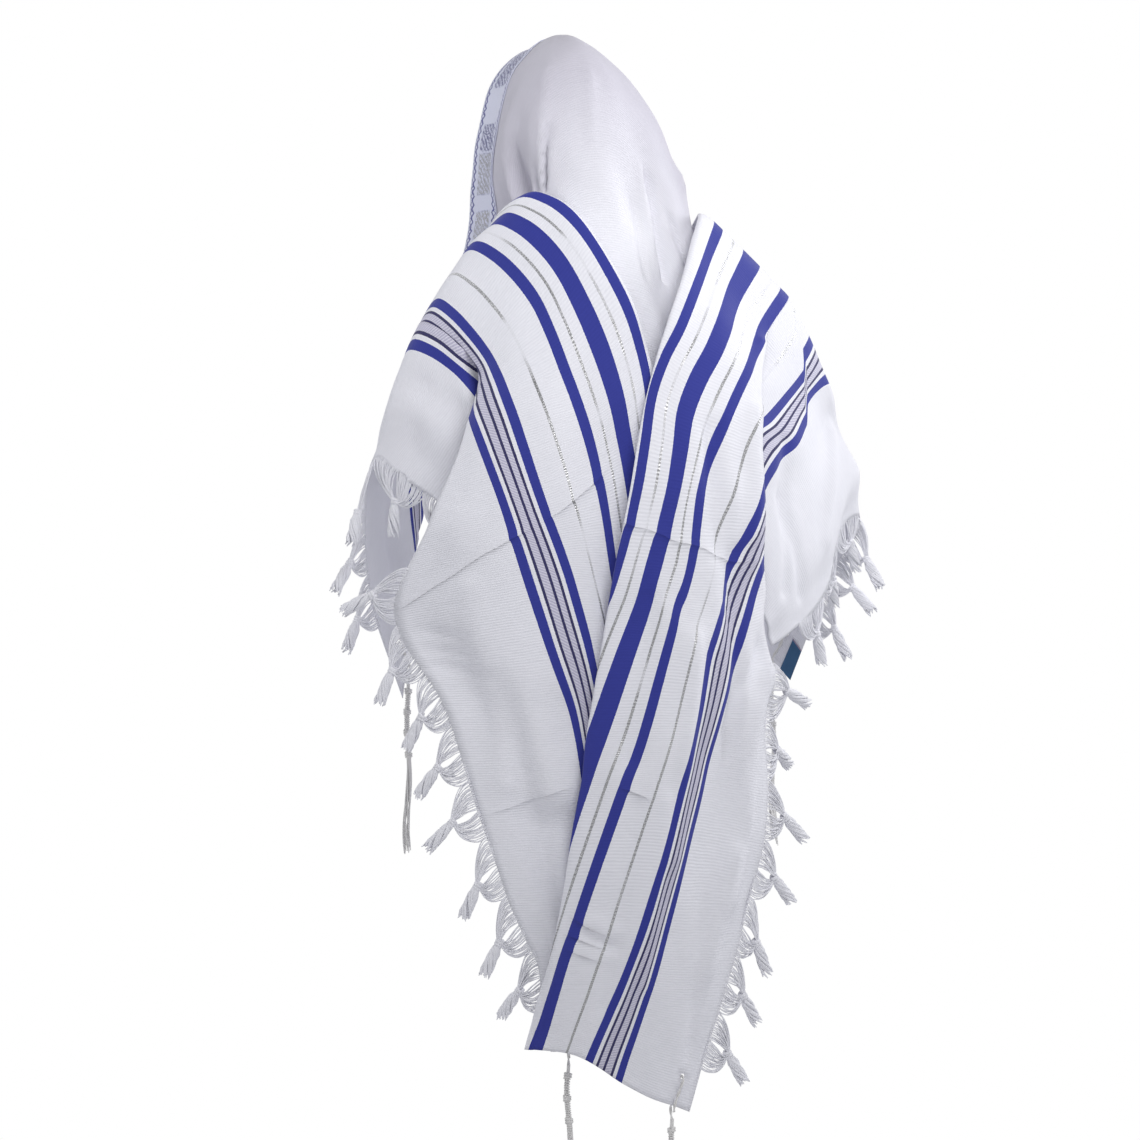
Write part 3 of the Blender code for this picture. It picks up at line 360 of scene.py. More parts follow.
# Small folds of each cloth, finer than those of the solids, in millimetres: from (u, v) to
# (u, v), width and height of the swell.
FINE_FOLDS = {
    "hood_centre": (
        (-98, 296, -152, 329, 7, -10), (-112, 284, -158, 312, 8, 4.5), (-72, 222, -112, 280, 10, 3),
        (2, 245, -14, 340, 10, 3.5), (-190, 199, -236, 190, 12, -5), (119, 345, 146, 470, 8, -8.5),
        (104, 345, 128, 470, 10, 5), (208, 215, 222, 360, 14, 6), (165, 370, 200, 412, 7, -6.5),
        (84, 400, 88, 500, 9, -5),
    ),
    "left_back_fall": (
        (917, 826, 867, 845, 7, -3.9), (930, 852, 875, 864, 7, -3.9), (936, 874, 883, 887, 7, -3.6),
        (831, 780, 890, 1040, 18, 6.5), (850, 900, 860, 1180, 16, -5.2),
    ),
    "right_back_fall": (
        (692, 722, 875, 1070, 14, -8.3), (625, 454, 732, 731, 14, 6.7),
        (602, 600, 665, 712, 12, -9), (652, 560, 706, 700, 12, 6.7), (569, 775, 613, 977, 16, -6),
        (668, 824, 720, 1101, 16, 6.7), (640, 1050, 690, 1300, 14, -6.7),
        (811, 894, 890, 1140, 16, 6.7), (630, 1164, 664, 1180, 8, 4.5),
        (630, 1184, 668, 1200, 7, -4.5), (630, 1202, 666, 1218, 8, 4),
        (680, 1040, 735, 1250, 12, 5), (830, 1150, 905, 1330, 14, -5),
    ),
    "left_arm_fall": (
        (800, 386, 945, 440, 14, -3),
    ),
    "right_arm_fall": (
        (743, 501, 870, 640, 12, -6.3), (808, 396, 885, 506, 12, 5.6), (790, 560, 905, 600, 12, -5),
    ),
}

# Unevenness of the cloth: waves per metre across and along it, times two pi, and height.
RUMPLES = (
    (70.0, 12.0, 0.0005), (38.0, 30.0, 0.0007), (21.0, -16.0, 0.0010), (95.0, -40.0, 0.0003),
    (-52.0, 64.0, 0.0004),
)

# Press folds across the cloth, in millimetres: from (u, v) to (u, v), and height.
CREASES = {
    "left_back_fall": (
        (960, 796, 716, 705, 3), (716, 704, 590, 664, 2.6), (945, 1084, 770, 1049, 2.2),
    ),
    "right_back_fall": (
        (455, 684, 740, 732, 3), (605, 1021, 662, 1043, 4), (600, 1159, 668, 1189, 5.5),
        (600, 1180, 669, 1207, 5.5), (612, 1203, 664, 1223, 4),
    ),
}

# Pleats that shift the stripes beyond them, in millimetres: from (u, v) to (u, v), shift and
# half-width.
JOGS = {
    "right_arm_fall": (
        (660, 372, 790, 478, 17, 4),
    ),
}

# Corner holes: cloth, row and column of the cell that the hole is cut in, row of the edge.
CORNERS = {
    "tzitzit_left_back": ("left_back_fall", -3, -3, -1),
    "tzitzit_right_back": ("right_back_fall", -3, -3, -1),
    "tzitzit_left_front": ("left_arm_fall", 1, -3, 0),
    "tzitzit_right_front": ("right_arm_fall", 1, -4, 0),
}

# Stretches of fringe: cloth, first and last row of its edge, seed.
FRINGES = {
    "fringe_left_back": ("left_back_fall", 20, -2, 1),
    "fringe_right_back": ("right_back_fall", 25, -2, 2),
    "fringe_left_arm": ("left_arm_fall", 3, None, 3),
    "fringe_right_arm": ("right_arm_fall", 3, -1, 4),
}

# Woven stripes, by distance from the fringed edge in millimetres: (where it starts, yarn).
STRIPES = (
    (0.0, "wool"), (190.0, "blue"), (204.0, "wool"), (209.6, "dark"), (213.0, "lilac"),
    (221.3, "dark"), (224.7, "lilac"), (233.0, "dark"), (236.4, "wool"), (242.0, "blue"),
    (256.0, "wool"), (289.2, "silver"), (292.8, "wool"), (326.0, "blue"), (340.0, "wool"),
    (356.2, "silver"), (359.8, "wool"), (376.0, "blue"), (401.0, "wool"),
    (417.2, "silver"), (420.8, "wool"), (437.0, "blue"), (451.0, "wool"),
)
STRIPES_SPAN = 475.0

# What each yarn counts as in the stripes' mask: (metal, dense stripe, mottled band).
MASKS = {
    "wool": (0.0, 0.0, 0.0), "blue": (0.0, 1.0, 0.0), "dark": (0.0, 1.0, 0.0),
    "lilac": (0.0, 0.3, 1.0), "silver": (1.0, 0.0, 0.0),
}

# Pitch of the weave's ribs and of the beads of the metal yarn, the plain weave's waves in a
# metre times two pi and its relief, how far fuzz blurs a stripe, gaps of the metal and its
# painted glints.
RIB = 0.0033
BEAD = 0.0038
WEAVE = 5200.0
WEAVE_HEIGHT = 0.00042
STRIPE_FUZZ = 0.0010
BEAD_GAP = (0.10, 0.10, 0.11)
GLINT = (0.95, 0.95, 0.98)
WOOL_ROUGHNESS = 0.86
# Painted shade: shares of the cloth's width over which the greyer crown fades into the wool.
CROWN_SHADE_FADE = (0.24, 0.44)

# Noise by what it varies: scale, detail, and how it is drawn out along each axis.
GRAINS = {
    "fuzz": (700.0, 2.0), "bend": (9.0, 2.0), "drift": (26.0, 3.0), "cloud": (9.0, 3.0),
    "slub": (300.0, 3.0, 0.16, 1.0, 1.0), "glint": (900.0, 1.0),
    "dive": (1.0, 1.0, 30.0, 12.0, 1.0), "warp": (110.0, 2.0), "sway": (42.0, 1.0),
    "satin": (900.0, 2.0, 1.0, 0.2, 1.0), "fibre": (1400.0, 3.0), "ribbon": (1500.0, 2.0),
    "paper": (3.0, 4.0),
}

# Relief of the wool: how much drift bends the ribs, weight of ribs off and on dense stripes,
# of slubs and of the plain weave. Tone: least and gain of the painted shade between ribs,
# gain of slubs and of clouds.
RIB_DRIFT = 6.0
RIB_HEIGHT = (0.75, 0.25)
SLUB_HEIGHT = 0.9
CROSS_HEIGHT = 0.18
RIB_SHADE = (0.06, 0.91)
SLUB_TONE = 0.09
CLOUD_TONE = 0.03

# Spans from low to high and from none to full: pale steps of the mottled bands, dark gaps
# between beads, painted glints, and where metal yarn dives under the wool, more so further
# down.
MOTTLE = (1100.0, 1450.0, 3.0)
MOTTLE_SPAN = (-0.2, 0.7, 0.0, 0.55)
BEAD_SPAN = (0.0, 0.6, 0.0, 0.4)
GLINT_SPAN = (0.55, 0.66)
DIVE_DOWN = (0.6, 0.35)
DIVE_SPAN = (0.62, 0.74, 0.85, 0.0)

# How metallic the metal yarn and the mottled bands are, and roughness taken off by metal and
# by dense stripes.
METALLIC = 0.75
MOTTLE_METAL = 0.15
METAL_GLOSS = 0.50
STRIPE_GLOSS = 0.10

# Press folds: steepness before and past the line, length of their ends, bend, pull on stripes.
CREASE_RISE = 110.0
CREASE_DROP = 300.0
CREASE_END = 0.04
CREASE_BEND = 0.014
CREASE_PULL = 0.0022

# Jagged borders of the neckband: which way the teeth point, from and to across it. Then the
# height and unevenness of a tooth, and the edges of the scrolls between the borders.
BORDERS = (
    ("ADD", 0.0085, 0.0120), ("SUBTRACT", 0.0675, 0.0710), ("SUBTRACT", 0.0010, 0.0026),
    ("ADD", 0.0775, 0.0791),
)

TOOTH = 0.0055
TOOTH_WARP = 0.004
SCROLL = (0.017, 0.063)

# Scrolls of the neckband: how sway and unevenness shift them along and across, wavelengths of
# the lattice along and across and its shift, and of the curls, weight of the curls, and what
# of the sum is drawn. Rows of the satin, their height, and the figure's.
SCROLL_SHIFT = ((0.045, 0.020), (-0.038, -0.018))
LATTICE = (0.0092, 0.0108, 0.8)
CURLS = (0.0056, 0.0071)
CURL_WEIGHT = 0.9
FIGURE_SPAN = (-0.22, 0.0)
SATIN_ROWS = (0.0009, 0.3)
FIGURE_HEIGHT = 1.5

# White yarn: waves of its plies per metre on the fringe and the corner threads, and how ragged
# they are. Ribbon: height over which its halves change, and waves of its rows.
FRINGE_PLY = 260.0
CORNER_PLY = 420.0
PLY_RAGGED = {"Distortion": 6.0, "Detail": 2.0, "Detail Scale": 3.0}
RIBBON_CHANGE = 0.0005
RIBBON_ROWS = 9000.0

# Relief of the satin, the yarn and the ribbon: depth in metres and strength.
SATIN_RELIEF = (0.00035, 0.8)
YARN_RELIEF = (0.0003, 0.6)
RIBBON_RELIEF = (0.0002, 0.5)

# Blocks of ornament down each side of the neckband: from, to, and share of silver in them.
BLOCKS = (
    (0.0, 0.112, 0.15), (0.168, 0.204, 0.2), (0.208, 0.262, 0.75), (0.285, 0.345, 0.8),
    (0.375, 0.43, 0.3),
)

# The tag's rows and columns on the right plain end, where its two colours meet, and how many
# times finer than the cloth it is drawn.
TAG_CELLS = (slice(0, 3), slice(10, 12))
TAG_MIDDLE = 0.05
TAG_FINER = 3

# Soft lights: name, turn from the camera to its right, rise, distance, height aimed at, size,
# watts, colour.
LIGHTS = (
    ("key", 20.0, 30.0, 1.5, -0.32, 0.9, 14.5, (1.0, 0.995, 0.985)),
    ("left", -70.0, 20.0, 2.0, -0.40, 1.2, 4.5, (0.98, 0.985, 1.0)),
    ("right", 90.0, 10.0, 2.2, -0.45, 1.2, 5.0, (0.98, 0.985, 1.0)),
    ("right_rear", 110.0, 25.0, 2.0, -0.40, 1.2, 18.0, (0.98, 0.985, 1.0)),
    ("left_rear", -110.0, 25.0, 2.0, -0.40, 1.2, 9.0, (0.98, 0.985, 1.0)),
    ("front", 180.0, 20.0, 2.2, -0.50, 1.4, 6.0, (1.0, 1.0, 1.0)),
)

# Light of the surroundings by rise: straight down, below, level, above and straight up. Behind
# the shawl hangs a brighter backdrop, full and none at these angles from straight ahead.
SKY = ((0.0, 0.45), (0.36, 0.55), (0.41, 0.70), (0.60, 0.70), (0.70, 0.17), (1.0, 0.15))
SKY_TINT = (0.96, 0.97, 1.0)
BACKDROP = (1.0, math.radians(17.5), math.radians(55.0))


def hermite(knots, points, at):
    """Values at `at` of a smooth curve through the points, which lie at uneven knots."""
    knots = np.asarray(knots, float)
    points = np.asarray(points, float)
    step = np.diff(knots)
    slope = np.diff(points, axis=0) / step[:, None]
    tangent = np.empty_like(points)
    tangent[0] = slope[0]
    tangent[-1] = slope[-1]
    before = step[:-1, None]
    after = step[1:, None]
    tangent[1:-1] = (after * slope[:-1] + before * slope[1:]) / (before + after)
    cell = np.clip(np.searchsorted(knots, at, side="right") - 1, 0, len(step) - 1)
    t = ((at - knots[cell]) / step[cell])[:, None]
    size = step[cell][:, None]
    start = (1 + 2 * t) * (1 - t) ** 2 * points[cell] + t * (1 - t) ** 2 * size * tangent[cell]
    end = t * t * (3 - 2 * t) * points[cell + 1] - t * t * (1 - t) * size * tangent[cell + 1]
    return start + end


def unit(vectors):
    return vectors / np.linalg.norm(vectors, axis=-1, keepdims=True)


def lengths(points):
    """Distance along a line of points from its start to each of them."""
    return np.concatenate([[0.0], np.cumsum(np.linalg.norm(np.diff(points, axis=0), axis=1))])


def noise(k, seed):
    """A repeatable number between -1 and 1."""
    value = math.sin(k * 12.9898 + seed * 78.233) * 43758.5453
    return 2.0 * (value - math.floor(value)) - 1.0


def normals(grid, outside):
    """Unit normals of a grid of points, on the side of the point `outside` says is out."""
    across = np.gradient(grid, axis=1)
    down = np.gradient(grid, axis=0)
    return unit(np.cross(down, across)) * outside


def folded(u, v, folds):
    """Height of the soft folds at flat coordinates u and v."""
    height = np.zeros_like(u)
    for fold in folds:
        u0, v0, u1, v1, width, swell = (value / MM for value in fold)
        du, dv = u1 - u0, v1 - v0
        size = du * du + dv * dv
        t = ((u - u0) * du + (v - v0) * dv) / size
        off = ((u - u0) * dv - (v - v0) * du) / math.sqrt(size)
        fade = np.exp(-np.maximum(0.0, np.abs(t - 0.5) - 0.5) ** 2 * size / width**2)
        height += swell * np.exp(-((off / width) ** 2)) * fade
    return height


def sections(table, columns):
    """Points (x, y, z, u) of every row of a table at places between its columns."""
    rows = []
    for _, *points in table:
        points = np.asarray(points) / MM
        u = np.interp(columns, np.arange(len(points)), points[:, 0])
        rows.append(np.column_stack([hermite(points[:, 0], points[:, 1:], u), u]))
    return np.asarray(rows)


def even_rows(knots, line, start=0.0, ends=()):
    """Places between rows, evenly apart along a line; a pair HOLE apart replaces those near
    each of `ends`, a distance along the line, or from its far end if negative."""
    fine = np.linspace(start, knots[-1], SAMPLES)
    along = lengths(hermite(knots, line, fine))
    count = max(2, round(along[-1] / ROW))
    stops = list(np.linspace(0.0, along[-1], count + 1))
    for distance in ends:
        near = distance if distance > 0 else along[-1] + distance
        stops = [s for s in stops if abs(s - near) > ROW * HOLE_ROOM or s in (0.0, along[-1])]
        stops += [near - HOLE / 2, near + HOLE / 2]
    return np.interp(sorted(stops), along, fine)


def drape(rows, knots, at):
    """The grid at the places `at` between the rows of a table."""
    return np.stack([hermite(knots, rows[:, c], at) for c in range(rows.shape[1])], axis=1)


def hung(rows, knots, at, length, outside, folds):
    """A fall at the places `at` between its rows, with its soft folds, and its flat places."""
    grid = drape(rows, knots, at)
    place, u = grid[..., :3], grid[..., 3]
    v = np.repeat((at / length * CLOTH_WIDTH)[:, None], grid.shape[1], 1)
    height = folded(u, grid[..., 2], folds)
    return place + normals(place, outside) * height[..., None], np.stack([u, v], 2)


def hood_grid(columns, rows):
    """Points and normals of the hood and centre, at flat distances from the centre and front."""
    right_u = np.asarray(HOOD_U) / MM
    knots = np.concatenate([-right_u[:0:-1], right_u])
    cuts = []
    for _, share, narrow, lean, *half in HOOD:
        half = np.asarray(half) / MM
        flare = (np.asarray(HOOD_FLARE) / MM)[:, None]
        right = half + flare * share * np.array([1.0, 0.0, 0.0])
        left = half[:0:-1] * np.array([-narrow, 1.0, 1.0])
        whole = np.concatenate([left, right]) - np.array([lean / MM, 0.0, 0.0])
        cuts.append(hermite(knots, whole, columns))
    cuts = np.asarray(cuts)
    centre = lengths(cuts[:, len(columns) // 2])
    grid = drape(cuts, centre / centre[-1] * CLOTH_WIDTH, rows)
    u, v = np.meshgrid(columns, rows)
    return grid + normals(grid, 1.0) * folded(u, v, HOOD_FOLDS)[..., None]


def pressed(grid, covers, rows=0, least=PRESS):
    """Moves a layer down wherever another lies on it, from the given row on."""
    moved = grid.copy()
    weight = np.clip((np.arange(len(grid)) - rows) / PRESS_FADE, 0.0, 1.0)[:, None, None]
    if rows == 0:
        weight[:] = 1.0
    for _ in range(PRESS_STEPS):
        push = np.zeros_like(moved)
        for top, top_normal in covers:
            flat = top.reshape(-1, 3)
            facing = top_normal.reshape(-1, 3)
            for r in range(moved.shape[0]):
                gap = moved[r][:, None, :] - flat[None, :, :]
                near = np.argmin((gap**2).sum(axis=2), axis=1)
                away = moved[r] - flat[near]
                height = (away * facing[near]).sum(axis=1)
                aside = np.linalg.norm(away - facing[near] * height[:, None], axis=1)
                felt = (aside < PRESS_ASIDE) & (height < PRESS_ABOVE)
                depth = np.where(felt, np.maximum(height + least, 0.0), 0.0)
                step = facing[near] * depth[:, None]
                larger = (step**2).sum(axis=1) > (push[r] ** 2).sum(axis=1)
                push[r][larger] = step[larger]
        padded = np.pad(push, ((1, 1), (1, 1), (0, 0)), mode="edge")
        around = (padded[:-2, 1:-1] + padded[2:, 1:-1] + padded[1:-1, :-2] + padded[1:-1, 2:]) / 4
        most = np.linalg.norm(push, axis=2) > np.linalg.norm(around, axis=2)
        moved = moved - np.where(most[..., None], push, around) * weight
    return moved


def surface_tree(grid):
    """The triangles of a grid, to look up its nearest place."""
    rows, columns = grid.shape[:2]
    triangles = []
    for r in range(rows - 1):
        for c in range(columns - 1):
            a = r * columns + c
            triangles += [(a, a + 1, a + columns + 1), (a, a + columns + 1, a + columns)]
    return BVHTree.FromPolygons([tuple(p) for p in grid.reshape(-1, 3)], triangles)


def carrying(grid, carried):
    """Raises a sheet softly at its nearest place to the one that lies on it, until they meet."""
    tree = surface_tree(carried)
    for _ in range(CARRY_STEPS):
        own = surface_tree(grid)
        gaps = []
        for point in grid.reshape(-1, 3):
            place, _, _, gap = tree.find_nearest(tuple(point))
            gaps.append((gap, point, np.asarray(place) - point))
        for point in carried.reshape(-1, 3):
            place, _, _, gap = own.find_nearest(tuple(point))
            gaps.append((gap, np.asarray(place), point - np.asarray(place)))
        gap, place, way = min(gaps, key=lambda item: item[0])
        swell = np.exp(-((grid - place) ** 2).sum(axis=2) / CARRY_WIDTH**2)
        grid = grid + unit(way) * (gap - SEAM) * swell[..., None]
    return grid


def widened(grid, normal):
    """A cover carried a little past its inner edge, to keep lower layers clear of the turn."""
    past = grid[:, :1] - unit(grid[:, 1:2] - grid[:, :1]) * TURN_ROOM
    return np.concatenate([past, grid], axis=1), np.concatenate([normal[:, :1], normal], axis=1)


def turned_edge(grid, normal):
    """Columns put before the first: the inner edge rolled under and laid back beneath."""
    inward = unit(grid[:, 1] - grid[:, 0])
    down = -normal[:, 0]
    grow = np.clip(np.linspace(0.0, TURN_GROWTH[1], len(grid)), TURN_GROWTH[0], 1.0)[:, None]
    centre = grid[:, 0] + down * TURN_RADIUS
    columns = []
    for depth in (TURN_DEPTH, TURN_DEPTH * TURN_MIDDLE):
        columns.append(centre + down * TURN_RADIUS + inward * depth * grow)
    for angle in TURN_ANGLES:
        turn = math.radians(angle)
        columns.append(centre - down * TURN_RADIUS * math.cos(turn) - inward * TURN_RADIUS
                       * math.sin(turn))
    return np.stack(columns, axis=1)


def hemmed(grid, normal, flat):
    """A striped fall with its turned edge, as points (x, y, z, u, v)."""
    turn = turned_edge(grid, normal)
    line = np.linalg.norm(np.diff(np.concatenate([turn, grid[:, :1]], 1), axis=1), axis=2)
    back_to = flat[:, :1, 0] - np.cumsum(line[:, ::-1], axis=1)[:, ::-1]
    turn_flat = np.stack([back_to, np.repeat(flat[:, :1, 1], turn.shape[1], 1)], 2)
    return np.concatenate([np.concatenate([turn, grid], 1),
                           np.concatenate([turn_flat, flat], 1)], axis=2)


def side_layers(outside, back_table, back_columns, folds, arm_table, arm_columns, parting):
    """Stripes and plain end of one side before they lie on anything, and the rows they share."""
    back = sections(back_table, back_columns)
    arm = sections(arm_table, arm_columns)
    back_knots = lengths(back[:, -1, :3])
    arm_knots = lengths(arm[:, 0, :3])
    front = even_rows(arm_knots, arm[:, -1, :3], ends=(HOLE_INSET,))[1:3]
    at = even_rows(back_knots, back[:, -1, :3], ends=(-HOLE_INSET,))
    apart = [s for s in at if abs(s - front.mean()) > ROW * FRONT_ROOM]
    at = np.sort(np.concatenate([apart, front]))
    shared = [s for s in at if s < arm_knots[parting] - ROW * PART_ROOM]
    under = even_rows(arm_knots, arm[:, -1, :3], start=shared[-1])[1:]
    places = np.concatenate([shared, under])
    striped, striped_flat = hung(back, back_knots, at, back_knots[-1], outside, folds)
    plain, plain_flat = hung(arm, arm_knots, places, back_knots[-1], outside, folds)
    parting_rows = (len(shared) - 3, len(shared) - 1)
    sink = np.interp(np.arange(len(plain)), parting_rows, (0.0, PART_SINK))
    fade = np.linspace(1.0, 0.0, plain.shape[1]) ** 2
    plain -= normals(plain, outside) * sink[:, None, None] * fade[None, :, None]
    return outside, striped, striped_flat, plain, plain_flat, len(shared)


@functools.lru_cache(maxsize=None)
def layers():
    """The grids (x, y, z, u, v) of the solids, laid on each other: {name: (grid, outside)}."""
    sides = {side: side_layers(*facts) for side, *facts in SIDES}
    covers = {}
    for side, above in (("right", ()), ("left", ("right",))):
        outside, striped = sides[side][:2]
        if above:
            striped = pressed(striped, [widened(*covers[other]) for other in above])
        covers[side] = (striped, normals(striped, outside))
    ends = {}
    for side in ("left", "right"):
        outside, _, _, plain, _, shared = sides[side]
        plain = pressed(plain, [covers[side]], shared - 1)
        facing = normals(plain, outside)
        facing[:shared, 0] = covers[side][1][:shared, -1]
        beside = np.cross(unit(np.gradient(plain[:, 0], axis=0)), facing[:, 0])
        beside *= np.sign(np.sum(beside * (plain[:, 1] - plain[:, 0])))
        plain[:, 0] -= unit(beside) * TUCK + facing[:, 0] * TUCK / 2
        ends[side] = (plain, facing)

    columns = np.linspace(-CENTRE_HALF, CENTRE_HALF, HOOD_COLUMNS)
    rows = np.concatenate([np.linspace(0.0, BAND_WIDTH, BAND_ROWS),
                           np.linspace(HOOD_ROWS[0], CLOTH_WIDTH, HOOD_ROWS[1])])
    hood = pressed(hood_grid(columns, rows), [
        widened(*covers["left"]), widened(*covers["right"]), *ends.values()], least=HOOD_PRESS)
    for plain, facing in ends.values():
        hood = carrying(hood, plain - facing * WALL)

    flat = np.stack(np.meshgrid(columns, rows), 2)
    grids = {"hood_centre": (np.concatenate([hood, flat], 2), 1.0)}
    for side, (outside, _, _, _, flat, _) in sides.items():
        grids[side + "_arm_fall"] = (np.concatenate([ends[side][0], flat], 2), outside)
    for side, (outside, _, flat, _, _, _) in sides.items():
        grids[side + "_back_fall"] = (hemmed(*covers[side], flat), outside)
    return grids


def refined(grid, step):
    """The same grid with more points, on smooth curves through all its own points."""
    for axis in (0, 1):
        lines = np.moveaxis(grid, axis, 0)
        gaps = np.linalg.norm(np.diff(lines[..., :3], axis=0), axis=2).mean(axis=1)
        knots = np.concatenate([[0.0], np.cumsum(gaps)])
        at = [0.0]
        for k, gap in enumerate(gaps):
            at += list(np.linspace(knots[k], knots[k + 1], max(2, round(gap / step)) + 1)[1:])
        drawn = hermite(knots, lines.reshape(len(lines), -1), np.asarray(at))
        grid = np.moveaxis(drawn.reshape(len(at), *lines.shape[1:]), 0, axis)
    return grid


def rumpled(name, step):
    """A cloth's grid made fine, with its small soft folds and slight unevenness."""
    grid, outside = layers()[name]
    fine = refined(grid, step)
    u, v = fine[..., 3], fine[..., 4]
    height = folded(u, v, FINE_FOLDS[name])
    for k, (across, along, size) in enumerate(RUMPLES):
        height += size * np.sin(across * u + along * v + 3.0 * noise(k, len(name)))
    moved = fine.copy()
    moved[..., :3] += normals(fine[..., :3], outside) * height[..., None]
    return moved


def cell_middle(name, row, column):
    """Centre of one cell of a solid's grid, its row counted from either end."""
    grid = layers()[name][0]
    row = row % len(grid)
    return (grid[row, column, :3] + grid[row + 1, column + 1, :3]) / 2


def smooth_object(name, mesh):
    """An object of a mesh, shaded smooth and put in the scene."""
    mesh.polygons.foreach_set("use_smooth", [True] * len(mesh.polygons))
    item = bpy.data.objects.new(name, mesh)
    bpy.context.scene.collection.objects.link(item)
    return item


def finished(name, source, wall=0.0):
    """A smooth mesh object from a bmesh, with a wall set inwards if one is given."""
    mesh = bpy.data.meshes.new(name)
    source.to_mesh(mesh)
    source.free()
    item = smooth_object(name, mesh)
    if wall:
        solidify = item.modifiers.new("wall", "SOLIDIFY")
        solidify.thickness = wall
        solidify.offset = -1.0
    return item


def sheet_object(name, grid, outside, wall, holes=()):
    """A cloth with its flat coordinates as its map, round holes cut, and its wall set inwards."""
    rows, columns = grid.shape[:2]
    cloth = bmesh.new()
    flat = cloth.loops.layers.uv.new("Flat")
    bmesh.ops.create_grid(cloth, x_segments=columns - 1, y_segments=rows - 1, size=0.5)
    place = {}
    for vertex in cloth.verts:
        row = round((vertex.co.y + 0.5) * (rows - 1))
        column = round((vertex.co.x + 0.5) * (columns - 1))
        place[vertex] = (row, column)
        vertex.co = grid[row, column, :3]
    for face in cloth.faces:
        for loop in face.loops:
            loop[flat].uv = grid[place[loop.vert]][3:]
    for centre in holes:
        middle = min(cloth.verts, key=lambda vertex: (vertex.co - Vector(centre)).length)
        around = {other for face in middle.link_faces for other in face.verts} - {middle}
        for vertex in around:
            vertex.co = middle.co + (vertex.co - middle.co).normalized() * (HOLE / 2)
        bmesh.ops.delete(cloth, geom=[middle], context="VERTS")
    if outside > 0:
        bmesh.ops.reverse_faces(cloth, faces=cloth.faces)
    return finished(name, cloth, wall)


def strands(name, lines):
    """Closed round strands along lines of (points, radii), as one mesh object."""
    curve = bpy.data.curves.new(name, "CURVE")
    curve.dimensions = "3D"
    curve.bevel_depth = 0.001
    curve.bevel_resolution = 1
    curve.use_fill_caps = True
    for points, radii in lines:
        spline = curve.splines.new("POLY")
        spline.points.add(len(points) - 1)
        four = np.concatenate([np.asarray(points), np.ones((len(points), 1))], axis=1)
        spline.points.foreach_set("co", four.ravel())
        spline.points.foreach_set("radius", np.broadcast_to(radii, len(points)) * 1000.0)
    drawn = bpy.data.objects.new(name + "_line", curve)
    bpy.context.scene.collection.objects.link(drawn)
    mesh = bpy.data.meshes.new_from_object(drawn)
    bpy.data.objects.remove(drawn)
    mesh.name = name
    mesh.materials.clear()
    return smooth_object(name, mesh)


def bowed(a, b, c, d, count):
    """Points of a cubic curve from a to d, drawn towards b and c."""
    t = np.linspace(0.0, 1.0, count)[:, None]
    return ((1 - t) ** 3 * a + 3 * t * (1 - t) ** 2 * b + 3 * t * t * (1 - t) * c + t ** 3 * d)


def seen(colour, share=1.0):
    """A share of a colour, as its socket takes it."""
    return (*(share * part for part in colour), 1.0)


